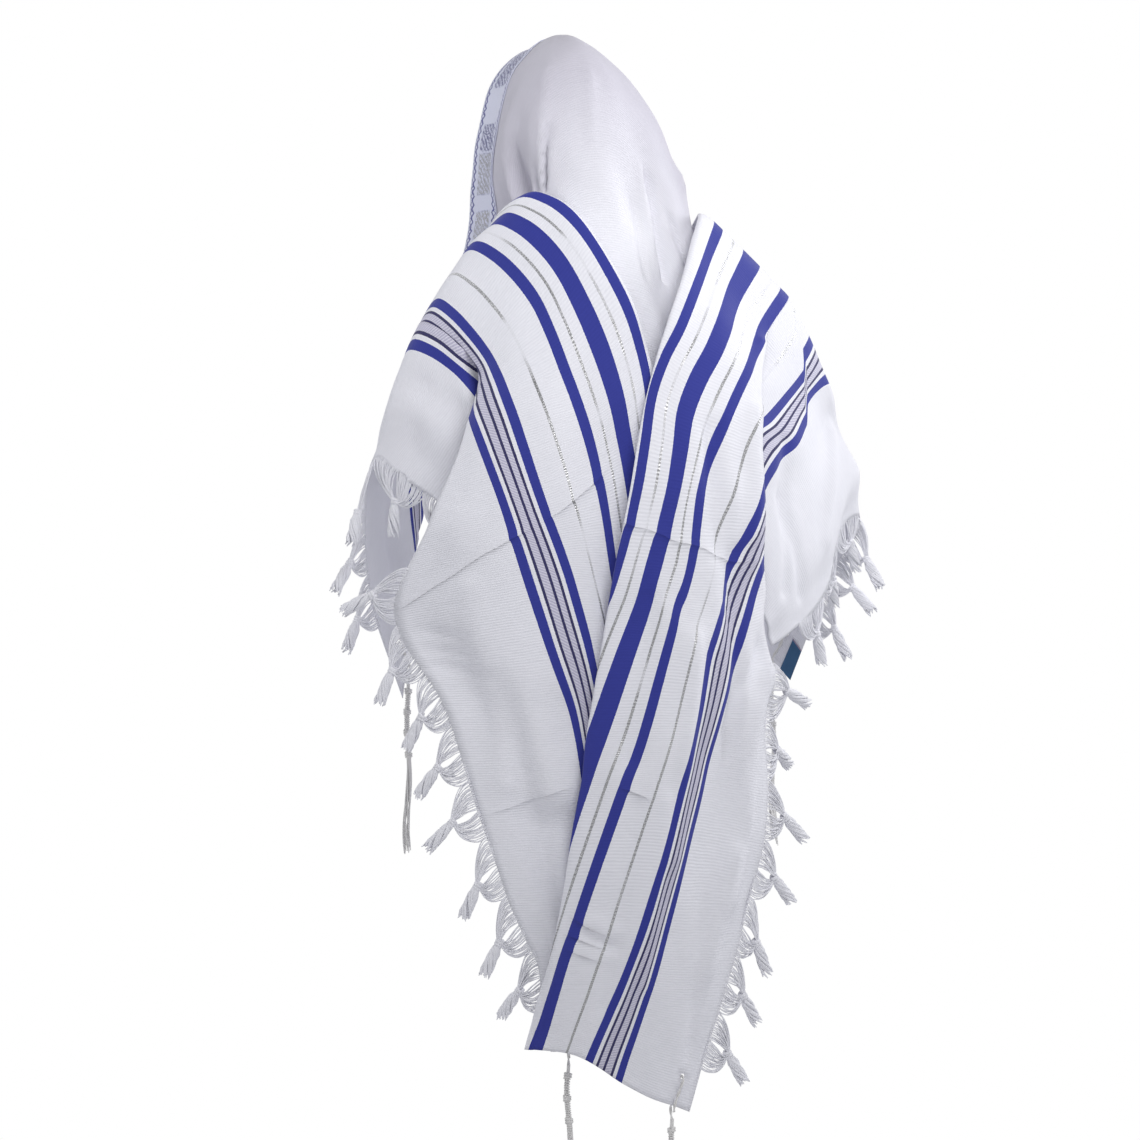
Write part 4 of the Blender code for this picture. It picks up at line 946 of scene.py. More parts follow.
class Nodes:
    """The nodes of a material or of the world, made and joined by short calls."""

    def __init__(self, owner):
        owner.use_nodes = True
        self.tree = owner.node_tree

    def fill(self, socket, value):
        """Joins a socket to another, or gives it a plain value."""
        if isinstance(value, bpy.types.NodeSocket):
            self.tree.links.new(value, socket)
        else:
            socket.default_value = value

    def add(self, kind, inputs=(), output=0, **settings):
        """One output, or a slice of them, of a new node with these inputs and settings."""
        node = self.tree.nodes.new("ShaderNode" + kind)
        for key, value in settings.items():
            setattr(node, key, value)
        for key, value in dict(inputs).items():
            self.fill(node.inputs[key], value)
        return node.outputs[output]

    def math(self, operation, a, b=0.0, c=0.0):
        return self.add("Math", {0: a, 1: b, 2: c}, operation=operation)

    def plus(self, a, b):
        return self.math("ADD", a, b)

    def less(self, a, b):
        return self.math("SUBTRACT", a, b)

    def times(self, a, b):
        return self.math("MULTIPLY", a, b)

    def scaled(self, a, b, c):
        """a times b, plus c."""
        return self.math("MULTIPLY_ADD", a, b, c)

    def wave(self, value, length, shift=0.0):
        """A sine wave of this length."""
        return self.math("SINE", self.scaled(value, 2 * math.pi / length, shift))

    def span(self, value, low, high, start=0.0, end=1.0, **settings):
        """A value between low and high, spread from start to end."""
        inputs = {0: value, 1: low, 2: high, 3: start, 4: end}
        return self.add("MapRange", inputs, **settings)

    def within(self, value, low, high, soft=0.0004):
        """1 between low and high and 0 outside, with soft ends."""
        half = (high - low) / 2
        middle = self.math("ABSOLUTE", self.less(value, (low + high) / 2))
        return self.span(middle, half + soft, half - soft)

    def most(self, values):
        """The largest of some values."""
        return functools.reduce(lambda a, b: self.math("MAXIMUM", a, b), values)

    def grain(self, place, kind):
        """The noise of this kind at a place."""
        scale, detail, *stretch = GRAINS[kind]
        if stretch:
            place = self.add("VectorMath", {0: place, 1: stretch}, operation="MULTIPLY")
        return self.add("TexNoise", {"Vector": place, "Scale": scale, "Detail": detail})

    def mix(self, share, a, b, blend="MIX"):
        return self.add("Mix", {0: share, 6: a, 7: b}, output=2, data_type="RGBA",
                        blend_type=blend)

    def shaded(self, colour, tone, warmth=1.0):
        """A colour times a grey tone, whose blue is raised to a power."""
        blue = tone if warmth == 1.0 else self.math("POWER", tone, warmth)
        shade = self.add("CombineColor", {0: tone, 1: tone, 2: blue})
        return self.mix(1.0, colour, shade, "MULTIPLY")

    def ramp(self, share, stops, interpolation):
        node = self.tree.nodes.new("ShaderNodeValToRGB")
        node.color_ramp.interpolation = interpolation
        elements = node.color_ramp.elements
        elements.remove(elements[1])
        elements[0].position, elements[0].color = stops[0]
        for position, colour in stops[1:]:
            elements.new(position).color = colour
        self.fill(node.inputs[0], share)
        return node.outputs[0]

    def bump(self, height, distance, strength=1.0, under=None):
        inputs = {"Height": height, "Distance": distance, "Strength": strength}
        if under is not None:
            inputs["Normal"] = under
        return self.add("Bump", inputs)


class Recipe(Nodes):
    """The nodes of one material, and its shader's plain values."""

    def __init__(self, name, **finish):
        self.material = bpy.data.materials.new(name)
        super().__init__(self.material)
        self.put(**finish)

    def put(self, **inputs):
        """Fills the shader's own sockets."""
        shader = self.tree.nodes["Principled BSDF"]
        for socket, value in inputs.items():
            self.fill(shader.inputs[socket.replace("_", " ")], value)
        return self.material

    def flat(self):
        """The flat coordinates u and v of a cloth, and both together."""
        both = self.add("UVMap", uv_map="Flat")
        u, v, _ = self.add("SeparateXYZ", {0: both}, output=slice(3))
        return u, v, both


def crease_height(yarn, u, v, bend, line):
    """Height of one press fold, 0 to 1: a slow rise to the line, a steep drop past it."""
    u0, v0, u1, v1 = line
    slope = (v1 - v0) / (u1 - u0)
    off = yarn.scaled(u, -slope, yarn.plus(v, bend))
    off = yarn.less(off, v0 - slope * u0)
    rise = yarn.math("EXPONENT", yarn.times(yarn.math("MINIMUM", off, 0.0), CREASE_RISE))
    drop = yarn.math("EXPONENT", yarn.times(yarn.math("MAXIMUM", off, 0.0), -CREASE_DROP))
    reach = abs(u1 - u0) / 2
    aside = yarn.math("ABSOLUTE", yarn.less(u, (u0 + u1) / 2))
    inside = yarn.span(aside, reach, reach - min(CREASE_END, reach))
    return yarn.times(yarn.times(rise, drop), inside)


def jogged(yarn, u, v, woven_u, jog):
    """The stripes' own u, shifted on the far side of a pleat."""
    u0, v0, u1, v1, shift, soft = jog
    length = math.hypot(u1 - u0, v1 - v0)
    across = yarn.scaled(u, (v1 - v0) / length, (u0 * (v0 - v1)) / length)
    across = yarn.plus(across, yarn.scaled(v, (u0 - u1) / length, v0 * (u1 - u0) / length))
    step = yarn.span(across, -soft, soft, 0.0, shift, interpolation_type="SMOOTHSTEP")
    return yarn.plus(woven_u, step)


def metres(table, name):
    """Rows that a table in millimetres has for a cloth."""
    return [[value / MM for value in row] for row in table.get(name, ())]


def woven(name, cloth):
    """Ribbed wool with its woven stripes, metal lines and press folds."""
    plain_centre = name == "hood_centre"
    # On the plain centre the ground is the crown's colour, which holds painted shade.
    ground = seen(cloth.crown if plain_centre else cloth.wool)
    yarn = Recipe(name + "_wool", Roughness=WOOL_ROUGHNESS, Sheen_Weight=0.15,
                  Sheen_Roughness=0.5, Specular_IOR_Level=0.25)
    u, v, both = yarn.flat()
    fuzz = yarn.grain(both, "fuzz")

    # Press folds take a little of the stripes with them, and pleats shift them.
    bend = yarn.scaled(yarn.grain(both, "bend"), CREASE_BEND, -CREASE_BEND / 2)
    creases = [(crease_height(yarn, u, v, bend, line), height)
               for *line, height in metres(CREASES, name)]
    woven_u = u
    for crease, _ in creases:
        woven_u = yarn.scaled(crease, -CREASE_PULL, woven_u)
    for jog in metres(JOGS, name):
        woven_u = jogged(yarn, u, v, woven_u, jog)
    edge = yarn.less(CLOTH_LENGTH / 2, yarn.math("ABSOLUTE", woven_u))
    edge = yarn.scaled(yarn.less(fuzz, 0.5), STRIPE_FUZZ, edge)
    share = yarn.math("DIVIDE", edge, STRIPES_SPAN / MM)
    colours = {key: ground if key == "wool" else seen(getattr(cloth, key)) for key in MASKS}
    colour = yarn.ramp(share, [(at / STRIPES_SPAN, colours[key]) for at, key in STRIPES],
                       "CONSTANT")
    if plain_centre:
        # Painted shade: the crown is drawn greyer than the cloth from the neck down, and fades into
        # it. It has no stripes.
        colour = yarn.mix(yarn.span(v, *CROWN_SHADE_FADE), colour, seen(cloth.wool))
    mask = yarn.ramp(share, [(at / STRIPES_SPAN, seen(MASKS[key])) for at, key in STRIPES],
                     "CONSTANT")
    silver, dense, mottled = yarn.add("SeparateColor", {0: mask}, output=slice(3))

    # Ribs across the stripes, broken up where yarns are thick or thin, and a fine plain weave.
    drift = yarn.grain(both, "drift")
    phase = yarn.scaled(drift, RIB_DRIFT, yarn.times(v, 2 * math.pi / RIB))
    rib = yarn.scaled(yarn.math("SINE", phase), 0.5, 0.5)
    slub = yarn.grain(both, "slub")
    cross = yarn.times(yarn.math("SINE", yarn.times(u, WEAVE)),
                       yarn.math("SINE", yarn.times(v, WEAVE)))
    height = yarn.times(rib, yarn.scaled(yarn.less(1.0, dense), *RIB_HEIGHT))
    height = yarn.scaled(cross, CROSS_HEIGHT, yarn.scaled(slub, SLUB_HEIGHT, height))
    surface = yarn.bump(height, WEAVE_HEIGHT, 0.6)
    for crease, size in creases:
        surface = yarn.bump(crease, size, 1.0, surface)

    # Painted shade between the ribs, and the wool lighter where it is brushed up.
    cloud = yarn.grain(both, "cloud")
    tone = yarn.scaled(slub, SLUB_TONE, yarn.scaled(rib, *RIB_SHADE))
    tone = yarn.scaled(cloud, CLOUD_TONE, yarn.less(tone, CLOUD_TONE))
    colour = yarn.shaded(colour, tone, 0.9)

    # Small pale steps along the mottled bands, and dark gaps between beads of the metal yarn.
    steps = yarn.scaled(fuzz, MOTTLE[2], yarn.scaled(u, MOTTLE[0], yarn.times(v, MOTTLE[1])))
    steps = yarn.span(yarn.math("SINE", steps), *MOTTLE_SPAN)
    colour = yarn.mix(yarn.times(steps, mottled), colour, ground)
    beads = yarn.math("SINE", yarn.times(v, 2 * math.pi / BEAD))
    beads = yarn.times(yarn.span(beads, *BEAD_SPAN), silver)
    colour = yarn.mix(beads, colour, seen(BEAD_GAP))

    # Painted glints as bright sparks in the metal yarn, and stretches where it dives under the
    # wool.
    glint = yarn.span(yarn.grain(both, "glint"), *GLINT_SPAN)
    metal = yarn.scaled(mottled, MOTTLE_METAL, silver)
    colour = yarn.mix(yarn.times(glint, metal), colour, seen(GLINT))
    dive = yarn.grain(both, "dive")
    dive = yarn.scaled(yarn.math("MAXIMUM", v, DIVE_DOWN[0]), DIVE_DOWN[1], dive)
    hidden = yarn.times(yarn.span(dive, *DIVE_SPAN), silver)
    colour = yarn.mix(hidden, colour, ground)
    metal = yarn.times(metal, yarn.less(1.0, hidden))
    gloss = yarn.scaled(dense, -STRIPE_GLOSS, WOOL_ROUGHNESS)
    return yarn.put(Base_Color=colour, Roughness=yarn.scaled(metal, -METAL_GLOSS, gloss),
                    Normal=surface, Metallic=yarn.times(metal, METALLIC))


def banded(name, cloth):
    """Blue jacquard ornament on a pale ground, with saw-tooth borders, for the neckband."""
    silk = Recipe(name, Roughness=0.55, Sheen_Weight=0.15, Specular_IOR_Level=0.4)
    u, v, both = silk.flat()
    warp = silk.less(silk.grain(both, "warp"), 0.5)

    # Jagged blue borders: a bold tooth and a thin one on each edge.
    saw = silk.math("PINGPONG", silk.scaled(warp, TOOTH_WARP, u), TOOTH)
    saw = silk.scaled(warp, TOOTH_WARP, saw)
    border = silk.most([silk.within(silk.math(way, v, saw), low, high)
                        for way, low, high in BORDERS])

    # Leafy scrolls in blocks along the middle, with a bare gap between blocks.
    sway = silk.less(silk.grain(both, "sway"), 0.5)
    side, tall = (silk.scaled(sway, by_sway, silk.scaled(warp, by_warp, place))
                  for (by_sway, by_warp), place in zip(SCROLL_SHIFT, (u, v)))
    lattice = silk.times(silk.wave(side, LATTICE[0]), silk.wave(tall, *LATTICE[1:]))
    curls = silk.times(silk.wave(silk.plus(side, tall), CURLS[0]),
                       silk.wave(silk.less(side, tall), CURLS[1]))
    figure = silk.span(silk.scaled(curls, CURL_WEIGHT, lattice), *FIGURE_SPAN)
    away = silk.math("ABSOLUTE", u)
    blocks = [(silk.within(away, low - 0.001, high, 0.0015), share)
              for low, high, share in BLOCKS]
    silver = silk.most([silk.times(block, share) for block, share in blocks])
    block = silk.most([block for block, _ in blocks])
    middle = silk.times(figure, silk.times(block, silk.within(v, *SCROLL)))
    drawn = silk.math("MAXIMUM", border, middle)
    satin = silk.grain(both, "satin")
    ground = silk.mix(satin, seen(cloth.band), seen(cloth.band, 0.86))
    inked = silk.mix(silk.times(silver, middle), seen(cloth.ornament), seen(cloth.silver))
    colour = silk.mix(drawn, ground, inked)
    rows = silk.scaled(silk.wave(u, SATIN_ROWS[0]), SATIN_ROWS[1], satin)
    surface = silk.bump(silk.scaled(drawn, FIGURE_HEIGHT, rows), *SATIN_RELIEF)
    return silk.put(Base_Color=colour, Normal=surface)


def spun(name, colour, scale):
    """White yarn of twisted plies."""
    yarn = Recipe(name, Roughness=0.9, Sheen_Weight=0.3, Specular_IOR_Level=0.15)
    place = yarn.add("TexCoord", output="Object")
    ply = yarn.add("TexWave", {"Vector": place, "Scale": scale, **PLY_RAGGED},
                   output=1, bands_direction="DIAGONAL")
    fibre = yarn.grain(place, "fibre")
    # Painted shade in the grooves between the plies, and tone that differs at random along the
    # fibres.
    tone = yarn.scaled(ply, 0.06, yarn.scaled(fibre, 0.08, 0.90))
    surface = yarn.bump(yarn.scaled(fibre, 0.5, ply), *YARN_RELIEF)
    return yarn.put(Base_Color=yarn.shaded(seen(colour), tone, 0.85), Normal=surface)


def ribbon(name, cloth):
    """Smooth ribbon in two plain halves."""
    silk = Recipe(name, Roughness=0.45, Specular_IOR_Level=0.45, Sheen_Weight=0.1)
    u, v, both = silk.flat()
    upper = silk.span(v, TAG_MIDDLE - RIBBON_CHANGE, TAG_MIDDLE + RIBBON_CHANGE)
    thread = silk.grain(both, "ribbon")
    rows = silk.math("SINE", silk.times(u, RIBBON_ROWS))
    colour = silk.mix(upper, seen(cloth.tag_lower), seen(cloth.tag_upper))
    colour = silk.shaded(colour, silk.scaled(thread, 0.3, 0.8))
    surface = silk.bump(silk.scaled(rows, 0.3, thread), *RIBBON_RELIEF)
    return silk.put(Base_Color=colour, Normal=surface)


def colour_property(name, description, *default):
    return FloatVectorProperty(name=name, description=description, subtype="COLOR",
                               default=default)


def length_property(name, description, default):
    return FloatProperty(name=name, description=description, default=default, unit="LENGTH")


def angle_property(name, description, degrees):
    return FloatProperty(name=name, description=description, default=math.radians(degrees),
                         subtype="ANGLE")


def count_property(name, description, default):
    return IntProperty(name=name, description=description, default=default)


class ShawlCloth(bpy.types.PropertyGroup):
    """Sizes and colours of the woven cloth, the neckband and the tag."""

    grain: length_property("Grain", "Distance between points of the cloth", 0.006)
    thickness: length_property("Thickness", "Thickness of the wool", 0.0016)
    wool: colour_property("Wool", "White ground", 0.85, 0.85, 0.91)
    # Painted shade: the crown's ground is drawn greyer than the wool.
    crown: colour_property("Crown", "White ground of the plain centre", 0.58, 0.565, 0.64)
    blue: colour_property("Blue", "Broad stripes", 0.032, 0.042, 0.30)
    dark: colour_property("Dark", "Thin dark lines", 0.040, 0.038, 0.12)
    lilac: colour_property("Lilac", "Narrow mottled bands", 0.52, 0.50, 0.65)
    silver: colour_property("Silver", "Metal yarn", 0.45, 0.45, 0.46)
    band: colour_property("Band", "Ground of the neckband", 0.70, 0.72, 0.88)
    ornament: colour_property("Ornament", "Figure of the neckband", 0.07, 0.075, 0.28)
    tag_upper: colour_property("Tag upper", "Upper half of the tag", 0.36, 0.31, 0.44)
    tag_lower: colour_property("Tag lower", "Lower half of the tag", 0.03, 0.11, 0.24)


class ShawlFringe(bpy.types.PropertyGroup):
    """Sizes and colours of the fringe and the corner threads."""

    thread: length_property("Thread", "Radius of a fringe thread", 0.00075)
    strand: length_property("Strand", "Radius of a strand of a tassel", 0.0018)
    threads: count_property("Threads", "Threads gathered into each knot", 54)
    strands: count_property("Strands", "Strands below each knot", 16)
    yarn: colour_property("Yarn", "Fringe yarn", 0.88, 0.88, 0.93)
    cord: colour_property("Cord", "Corner threads", 0.84, 0.83, 0.82)


class ShawlStage(bpy.types.PropertyGroup):
    """Where the shawl is seen from, and what it is seen against."""

    distance: length_property("Distance", "From the head's axis to the camera", 3.6)
    height: length_property("Height", "Camera height below the crown", -0.7075)
    turn: angle_property("Turn", "Camera's turn round the wearer's back", 20.0)
    shift: length_property("Aside", "Camera's step to the right", 0.0066)
    spread: angle_property("Field of view", "Camera's field of view", 23.79)
    floor_height: length_property("Floor", "Height of the floor", -1.72)
    floor_radius: length_property("Floor radius", "Radius of the round floor", 1.15)
    paper: colour_property("Paper", "Floor and backdrop", 0.90, 0.90, 0.91)


def lay(item, node, material):
    """Puts a finished piece on the body, in place of its solid."""
    item.data.materials.append(material)
    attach(item, "root")
    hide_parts(node)


class SHAWL_OT_cloth(bpy.types.Operator):
    """Drapes the woven cloth: the hood and centre, and the four striped falls"""

    bl_idname = "shawl.cloth"
    bl_label = "Woven cloth"

    def execute(self, context):
        cloth = context.scene.shawl_cloth
        for name, (grid, outside) in layers().items():
            holes = [cell_middle(name, row, column)
                     for owner, row, column, _ in CORNERS.values() if owner == name]
            fine = rumpled(name, cloth.grain)
            item = sheet_object(name + "_cloth", fine, outside, cloth.thickness, holes)
            lay(item, name, woven(name, cloth))
        return {"FINISHED"}


class SHAWL_OT_neckband(bpy.types.Operator):
    """Lays the jacquard neckband on the hood along the front edge"""

    bl_idname = "shawl.neckband"
    bl_label = "Neckband"

    def execute(self, context):
        cloth = context.scene.shawl_cloth
        grid, outside = layers()["hood_centre"]
        fine = rumpled("hood_centre", cloth.grain / 2)
        rows = fine[:, 0, 4] <= BAND_WIDTH + NEAR
        half = abs(grid[0, BAND_COLUMN, 3])
        columns = np.abs(fine[0, :, 3]) <= half + NEAR
        fine[..., :3] += normals(fine[..., :3], outside) * (SEAM + BAND_WALL)
        item = sheet_object("neckband", fine[rows][:, columns], outside, BAND_WALL)
        lay(item, "atarah", banded("neckband_jacquard", cloth))
        return {"FINISHED"}


def locks(name):
    """The edge of a stretch of fringe from its first row on, and each lock: how far along the
    edge its middle is, its line of rings, its directions along, out of and off it, its seed."""
    owner, first, last, seed = FRINGES[name]
    grid, outside = layers()[owner]
    place = grid[..., :3]
    normal = normals(place, outside)
    edge = place[:, -1]
    out = unit(np.cross(normal[:, -1], np.gradient(edge, axis=0)))
    if np.sum(out * (place[:, -1] - place[:, -2])) < 0:
        out = -out
    rows = range(len(grid))[first:last]
    travelled = lengths(edge[rows.start:rows.stop])
    next_lock = FRINGE_PITCH * FIRST_LOCK
    found = []
    for r, low, high in zip(rows, travelled, travelled[1:]):
        middle = (low + high) / 2
        if middle < next_lock or high - low < LOCK_ROOT:
            continue
        next_lock = middle + FRINGE_PITCH * LOCK_STEP
        side = unit(edge[r + 1] - edge[r])
        outward = unit(out[r] + out[r + 1])
        facing = normal[r, -1]
        swing = LOCK_SWAY[0] * noise(len(found), seed) * side
        swing = swing + LOCK_SWAY[1] * noise(len(found), seed + 5) * facing
        start = (edge[r] + edge[r + 1]) / 2 - facing * WALL / 2
        line = [start, start + outward * (SEAM + STRIP_WIDTH)]
        for distance, before in zip(LOCK, (0.0, *LOCK)):
            share = min(1.0, distance / LOCK_TURNED)
            heading = unit(outward * (LOCK_OUT[0] - LOCK_OUT[1] * share)
                           + DOWN * (LOCK_HANG[0] + LOCK_HANG[1] * share) + swing)
            line.append(line[-1] + heading * (distance - before))
        found.append((middle, np.asarray(line), side, outward, facing,
                      seed * 100 + len(found)))
    return edge[rows.start:], found


def coiled(core, wide, deep, radius, angle):
    """A line that winds round another at this radius."""
    return core + radius * (wide * np.cos(angle)[:, None] + deep * np.sin(angle)[:, None])


def gathered(root, share, t, lock, tied):
    """A thread from its root into the knot, which hangs a little and bows round an eye."""
    _, _, side, outward, face, seed = lock
    knot, heading, wide, deep = tied
    aside = share * 2.0 - 1.0
    half = math.copysign(1.0, aside)
    lift = face * THREAD_LIFT * noise(t, seed + 3)
    sag = DOWN * (THREAD_SAG[0] + THREAD_SAG[1] * share)
    away = outward * (THREAD_OUT[0] + THREAD_OUT[1] * noise(t, seed + 9))
    away = away + side * THREAD_ASIDE * half
    reach = EYE + (BOW - EYE) * abs(aside) ** BOW_SHAPE
    mouth = knot - heading * (MOUTH[0] - MOUTH[1] * abs(aside)) + side * reach * half
    inside = wide * KNOT_CORE[0] * aside + deep * KNOT_CORE[1] * noise(t, seed + 7)
    path = bowed(root - outward * THREAD_TUCK, root + away + sag * THREAD_EASE[0] + lift,
                 mouth + sag + lift * THREAD_EASE[1], knot + inside, THREAD_POINTS)
    turn, height, uneven = THREAD_WAVE
    wave = np.sin(np.linspace(0.0, turn, len(path)) + uneven * noise(t, seed + 13))
    wave *= height * np.sin(np.linspace(0.0, math.pi, len(path)))
    return path + wave[:, None] * (side + face * noise(t, seed + 17))


def tassel(fringe, line, seed, tied):
    """The yarn wound round a knot, and below it a soft core and strands that twist and part."""
    knot, heading, wide, deep = tied
    turns = np.linspace(0.0, KNOT_TURNS * 2 * math.pi, 26)
    core = knot + heading * (KNOT_HEIGHT * (turns / turns[-1] - 0.5))[:, None]
    lines = [(coiled(core, wide, deep, KNOT_RADIUS, turns + seed), KNOT_YARN)]
    down = np.linspace(0.0, 1.0, len(STRAND_TAPER))
    centre = hermite(RINGS, line, STRIP_WIDTH + KNOT + down * (TASSEL_END - KNOT))
    lines.append((centre[:len(TASSEL_CORE)], TASSEL_CORE))
    closed, fast = TASSEL_OPENS
    opening = closed + (1.0 - closed) * np.minimum(1.0, down * fast)
    opening = opening * (1.0 + TASSEL_FLARE * down ** 3)
    for s in range(fringe.strands):
        turn = 2 * math.pi * s / fringe.strands + noise(s, seed) * 0.4
        spread = STRAND_SPREAD[0] + STRAND_SPREAD[1] * noise(s, seed + 5)
        length = 1.0 - STRAND_SHORTER * abs(noise(s, seed + 11))
        path = coiled(knot + (centre - knot) * length, wide, deep,
                      (spread * opening)[:, None], turn + STRAND_TWIST * down)
        lines.append((path, fringe.strand * np.asarray(STRAND_TAPER)))
    return lines


class SHAWL_OT_fringe(bpy.types.Operator):
    """Ties the fringe: threads gathered from the edge into knots, and the tassels below them"""

    bl_idname = "shawl.fringe"
    bl_label = "Knotted fringe"

    def execute(self, context):
        fringe = context.scene.shawl_fringe
        yarn = spun("fringe_yarn", fringe.yarn, FRINGE_PLY)
        for name in FRINGES:
            edge, found = locks(name)
            travelled = lengths(edge)
            middles = [lock[0] for lock in found]
            borders = [middles[0] - FRINGE_PITCH / 2]
            borders += [(a + b) / 2 for a, b in zip(middles, middles[1:])]
            borders += [min(middles[-1] + FRINGE_PITCH / 2, travelled[-1])]
            lines = []
            for lock, low, high in zip(found, borders, borders[1:]):
                _, line, side, _, face, seed = lock
                knot = hermite(RINGS, line, np.array([STRIP_WIDTH + KNOT]))[0]
                heading = unit(line[-1] - knot)
                wide = unit(side - heading * np.dot(side, heading))
                tied = (knot, heading, wide, np.cross(wide, heading))
                for t in range(fringe.threads):
                    share = (t + 0.5) / fringe.threads
                    at = low + share * (high - low) + ROOT_UNEVEN * noise(t, seed)
                    root = np.array([np.interp(at, travelled, edge[:, axis])
                                     for axis in range(3)]) - face * WALL * 0.5
                    lines.append((gathered(root, share, t, lock, tied), fringe.thread))
                lines += tassel(fringe, line, seed, tied)
            lay(strands(name + "_threads", lines), name, yarn)
        return {"FINISHED"}


def corner_loop(owner, row, column, edge_row):
    """A thread through a corner hole and round the edge, the place that it hangs from, and
    the way that the cloth faces there."""
    grid, outside = layers()[owner]
    place = grid[..., :3]
    hole = cell_middle(owner, row, column)
    over = (place[edge_row, column] + place[edge_row, column + 1]) / 2
    over = over + unit(over - hole) * LOOP_OFF
    normal = normals(place, outside)[edge_row, column]
    aside = over - hole
    clear = THREAD_RADIUS + THREAD_CLEAR
    front = normal * clear
    back = -normal * (WALL + clear)
    top = over + DOWN * LOOP_DROP - normal * WALL / 2
    loop = np.array([
        over + front + DOWN * 0.003, over + front, hole + front + aside * 0.30,
        hole + front * 0.85 + aside * 0.04, hole + back * 0.5,
        hole + back * 0.95 + aside * 0.04, hole + back + aside * 0.30,
        over + back, over + back * 0.9 + DOWN * 0.006, top + DOWN * LOOP_DROP,
    ])
    travelled = lengths(loop)
    return hermite(travelled, loop, np.linspace(0.0, travelled[-1], LOOP_POINTS)), top, normal


def corner_lines(index, loop, top, normal):
    """A doubled loop, a core with windings and double knots, and loose ends."""
    along = unit(np.gradient(loop, axis=0))
    side = unit(np.cross(along, normal + 0.02))
    other = np.cross(along, side)
    turn = np.linspace(0.0, LOOP_TWIST, len(loop))
    lines = [(coiled(loop, side, other, STRAND_RADIUS, turn + math.pi * s), STRAND_RADIUS)
             for s in range(2)]
    wide = unit(np.cross(DOWN, normal))
    deep = np.cross(wide, DOWN)

    def core(drop):
        far, fast, full = CORE_SWAY
        sway = far * np.sin(drop * fast + index) * np.minimum(drop / full, 1.0)
        return top + DOWN * drop[..., None] + wide * sway[..., None]

    def wind(low, high, turns, count, radius, thickness):
        steps = np.linspace(0.0, 1.0, count)
        angle = steps * turns * 2 * math.pi + index
        path = coiled(core(low + (high - low) * steps), wide, deep, radius, angle)
        lines.append((path, thickness))

    lines.append((core(np.linspace(LOOP_DROP / 2, LOOSE_FROM, 12)), CORE_RADIUS))
    low = LOOP_DROP
    for knot, turns in KNOTS_DOWN:
        if knot - low > LEAST_WINDING:
            wind(low, knot - KNOT_HALF, turns, 10 * turns, *WINDING)
        wind(knot - KNOT_HALF, knot + KNOT_HALF, 2, 22, *DOUBLE_KNOT)
        low = knot + KNOT_HALF
    steps = np.linspace(0.0, 1.0, LOOSE_POINTS)
    for s in range(LOOSE_STRANDS):
        turn = 2 * math.pi * s / LOOSE_STRANDS + LOOSE_TURN[1] * noise(s, index)
        end = THREAD_LENGTH - LOOSE_SHORTER * abs(noise(s, index + 4))
        angle = turn + LOOSE_TURN[0] * steps + LOOSE_TURN[1] * noise(s, index + 9) * steps
        bend, least, more = LOOSE_PART
        part = steps ** bend * (least + more * noise(s, index + 2))
        reach = LOOSE_SPREAD[0] + LOOSE_SPREAD[1] * part
        middle = core(LOOSE_FROM - LOOSE_TUCK + (end - LOOSE_FROM) * steps)
        path = coiled(middle, wide, deep, reach[:, None], angle)
        lines.append((path, np.interp(steps, *LOOSE_TAPER)))
    return lines


class SHAWL_OT_corner_threads(bpy.types.Operator):
    """Ties the corner threads: a doubled loop through each hole, windings, knots, loose ends"""

    bl_idname = "shawl.corner_threads"
    bl_label = "Corner threads"

    def execute(self, context):
        fringe = context.scene.shawl_fringe
        yarn = spun("corner_yarn", fringe.cord, CORNER_PLY)
        for index, (name, corner) in enumerate(CORNERS.items()):
            item = strands(name + "_threads", corner_lines(index, *corner_loop(*corner)))
            lay(item, name, yarn)
        return {"FINISHED"}


class SHAWL_OT_tag(bpy.types.Operator):
    """Sews the blank tag inside the right front corner"""

    bl_idname = "shawl.tag"
    bl_label = "Blank tag"

    def execute(self, context):
        cloth = context.scene.shawl_cloth
        grid, outside = layers()["right_arm_fall"]
        facing = normals(grid[..., :3], outside)
        tag = grid[TAG_CELLS].copy()
        tag[..., :3] -= facing[TAG_CELLS] * (WALL + SEAM)
        item = sheet_object("tag", refined(tag, cloth.grain / TAG_FINER), outside, TAG_WALL)
        lay(item, "label", ribbon("tag_ribbon", cloth))
        return {"FINISHED"}


def round_floor(stage):
    """A round sheet of pale paper under the shawl."""
    paper = bmesh.new()
    bmesh.ops.create_circle(paper, cap_ends=True, segments=96, radius=stage.floor_radius)
    bmesh.ops.translate(paper, verts=paper.verts, vec=(0.0, 0.0, stage.floor_height))
    floor = finished("floor", paper)
    sheet = Recipe("paper", Roughness=0.9, Specular_IOR_Level=0.1)
    grain = sheet.grain(sheet.add("TexCoord", output="Object"), "paper")
    tint = sheet.mix(grain, seen(stage.paper), seen(stage.paper, 0.985))
    floor.data.materials.append(sheet.put(Base_Color=tint))
    return floor


def lamp(ahead, right, name, turn, rise, distance, height, size, power, colour):
    """A round soft light, aimed at the middle of the shawl at some height."""
    light = bpy.data.lights.new(name, "AREA")
    light.shape = "DISK"
    light.size = size
    light.energy = power
    light.color = colour
    aim = Vector((0.0, -0.05, height))
    around = math.radians(turn)
    up = math.radians(rise)
    level = -ahead * math.cos(around) + right * math.sin(around)
    item = bpy.data.objects.new(name, light)
    item.location = aim + (level * math.cos(up) + Vector((0, 0, math.sin(up)))) * distance
    item.rotation_euler = (aim - item.location).to_track_quat("-Z", "Y").to_euler()
    item.visible_camera = False
    return item


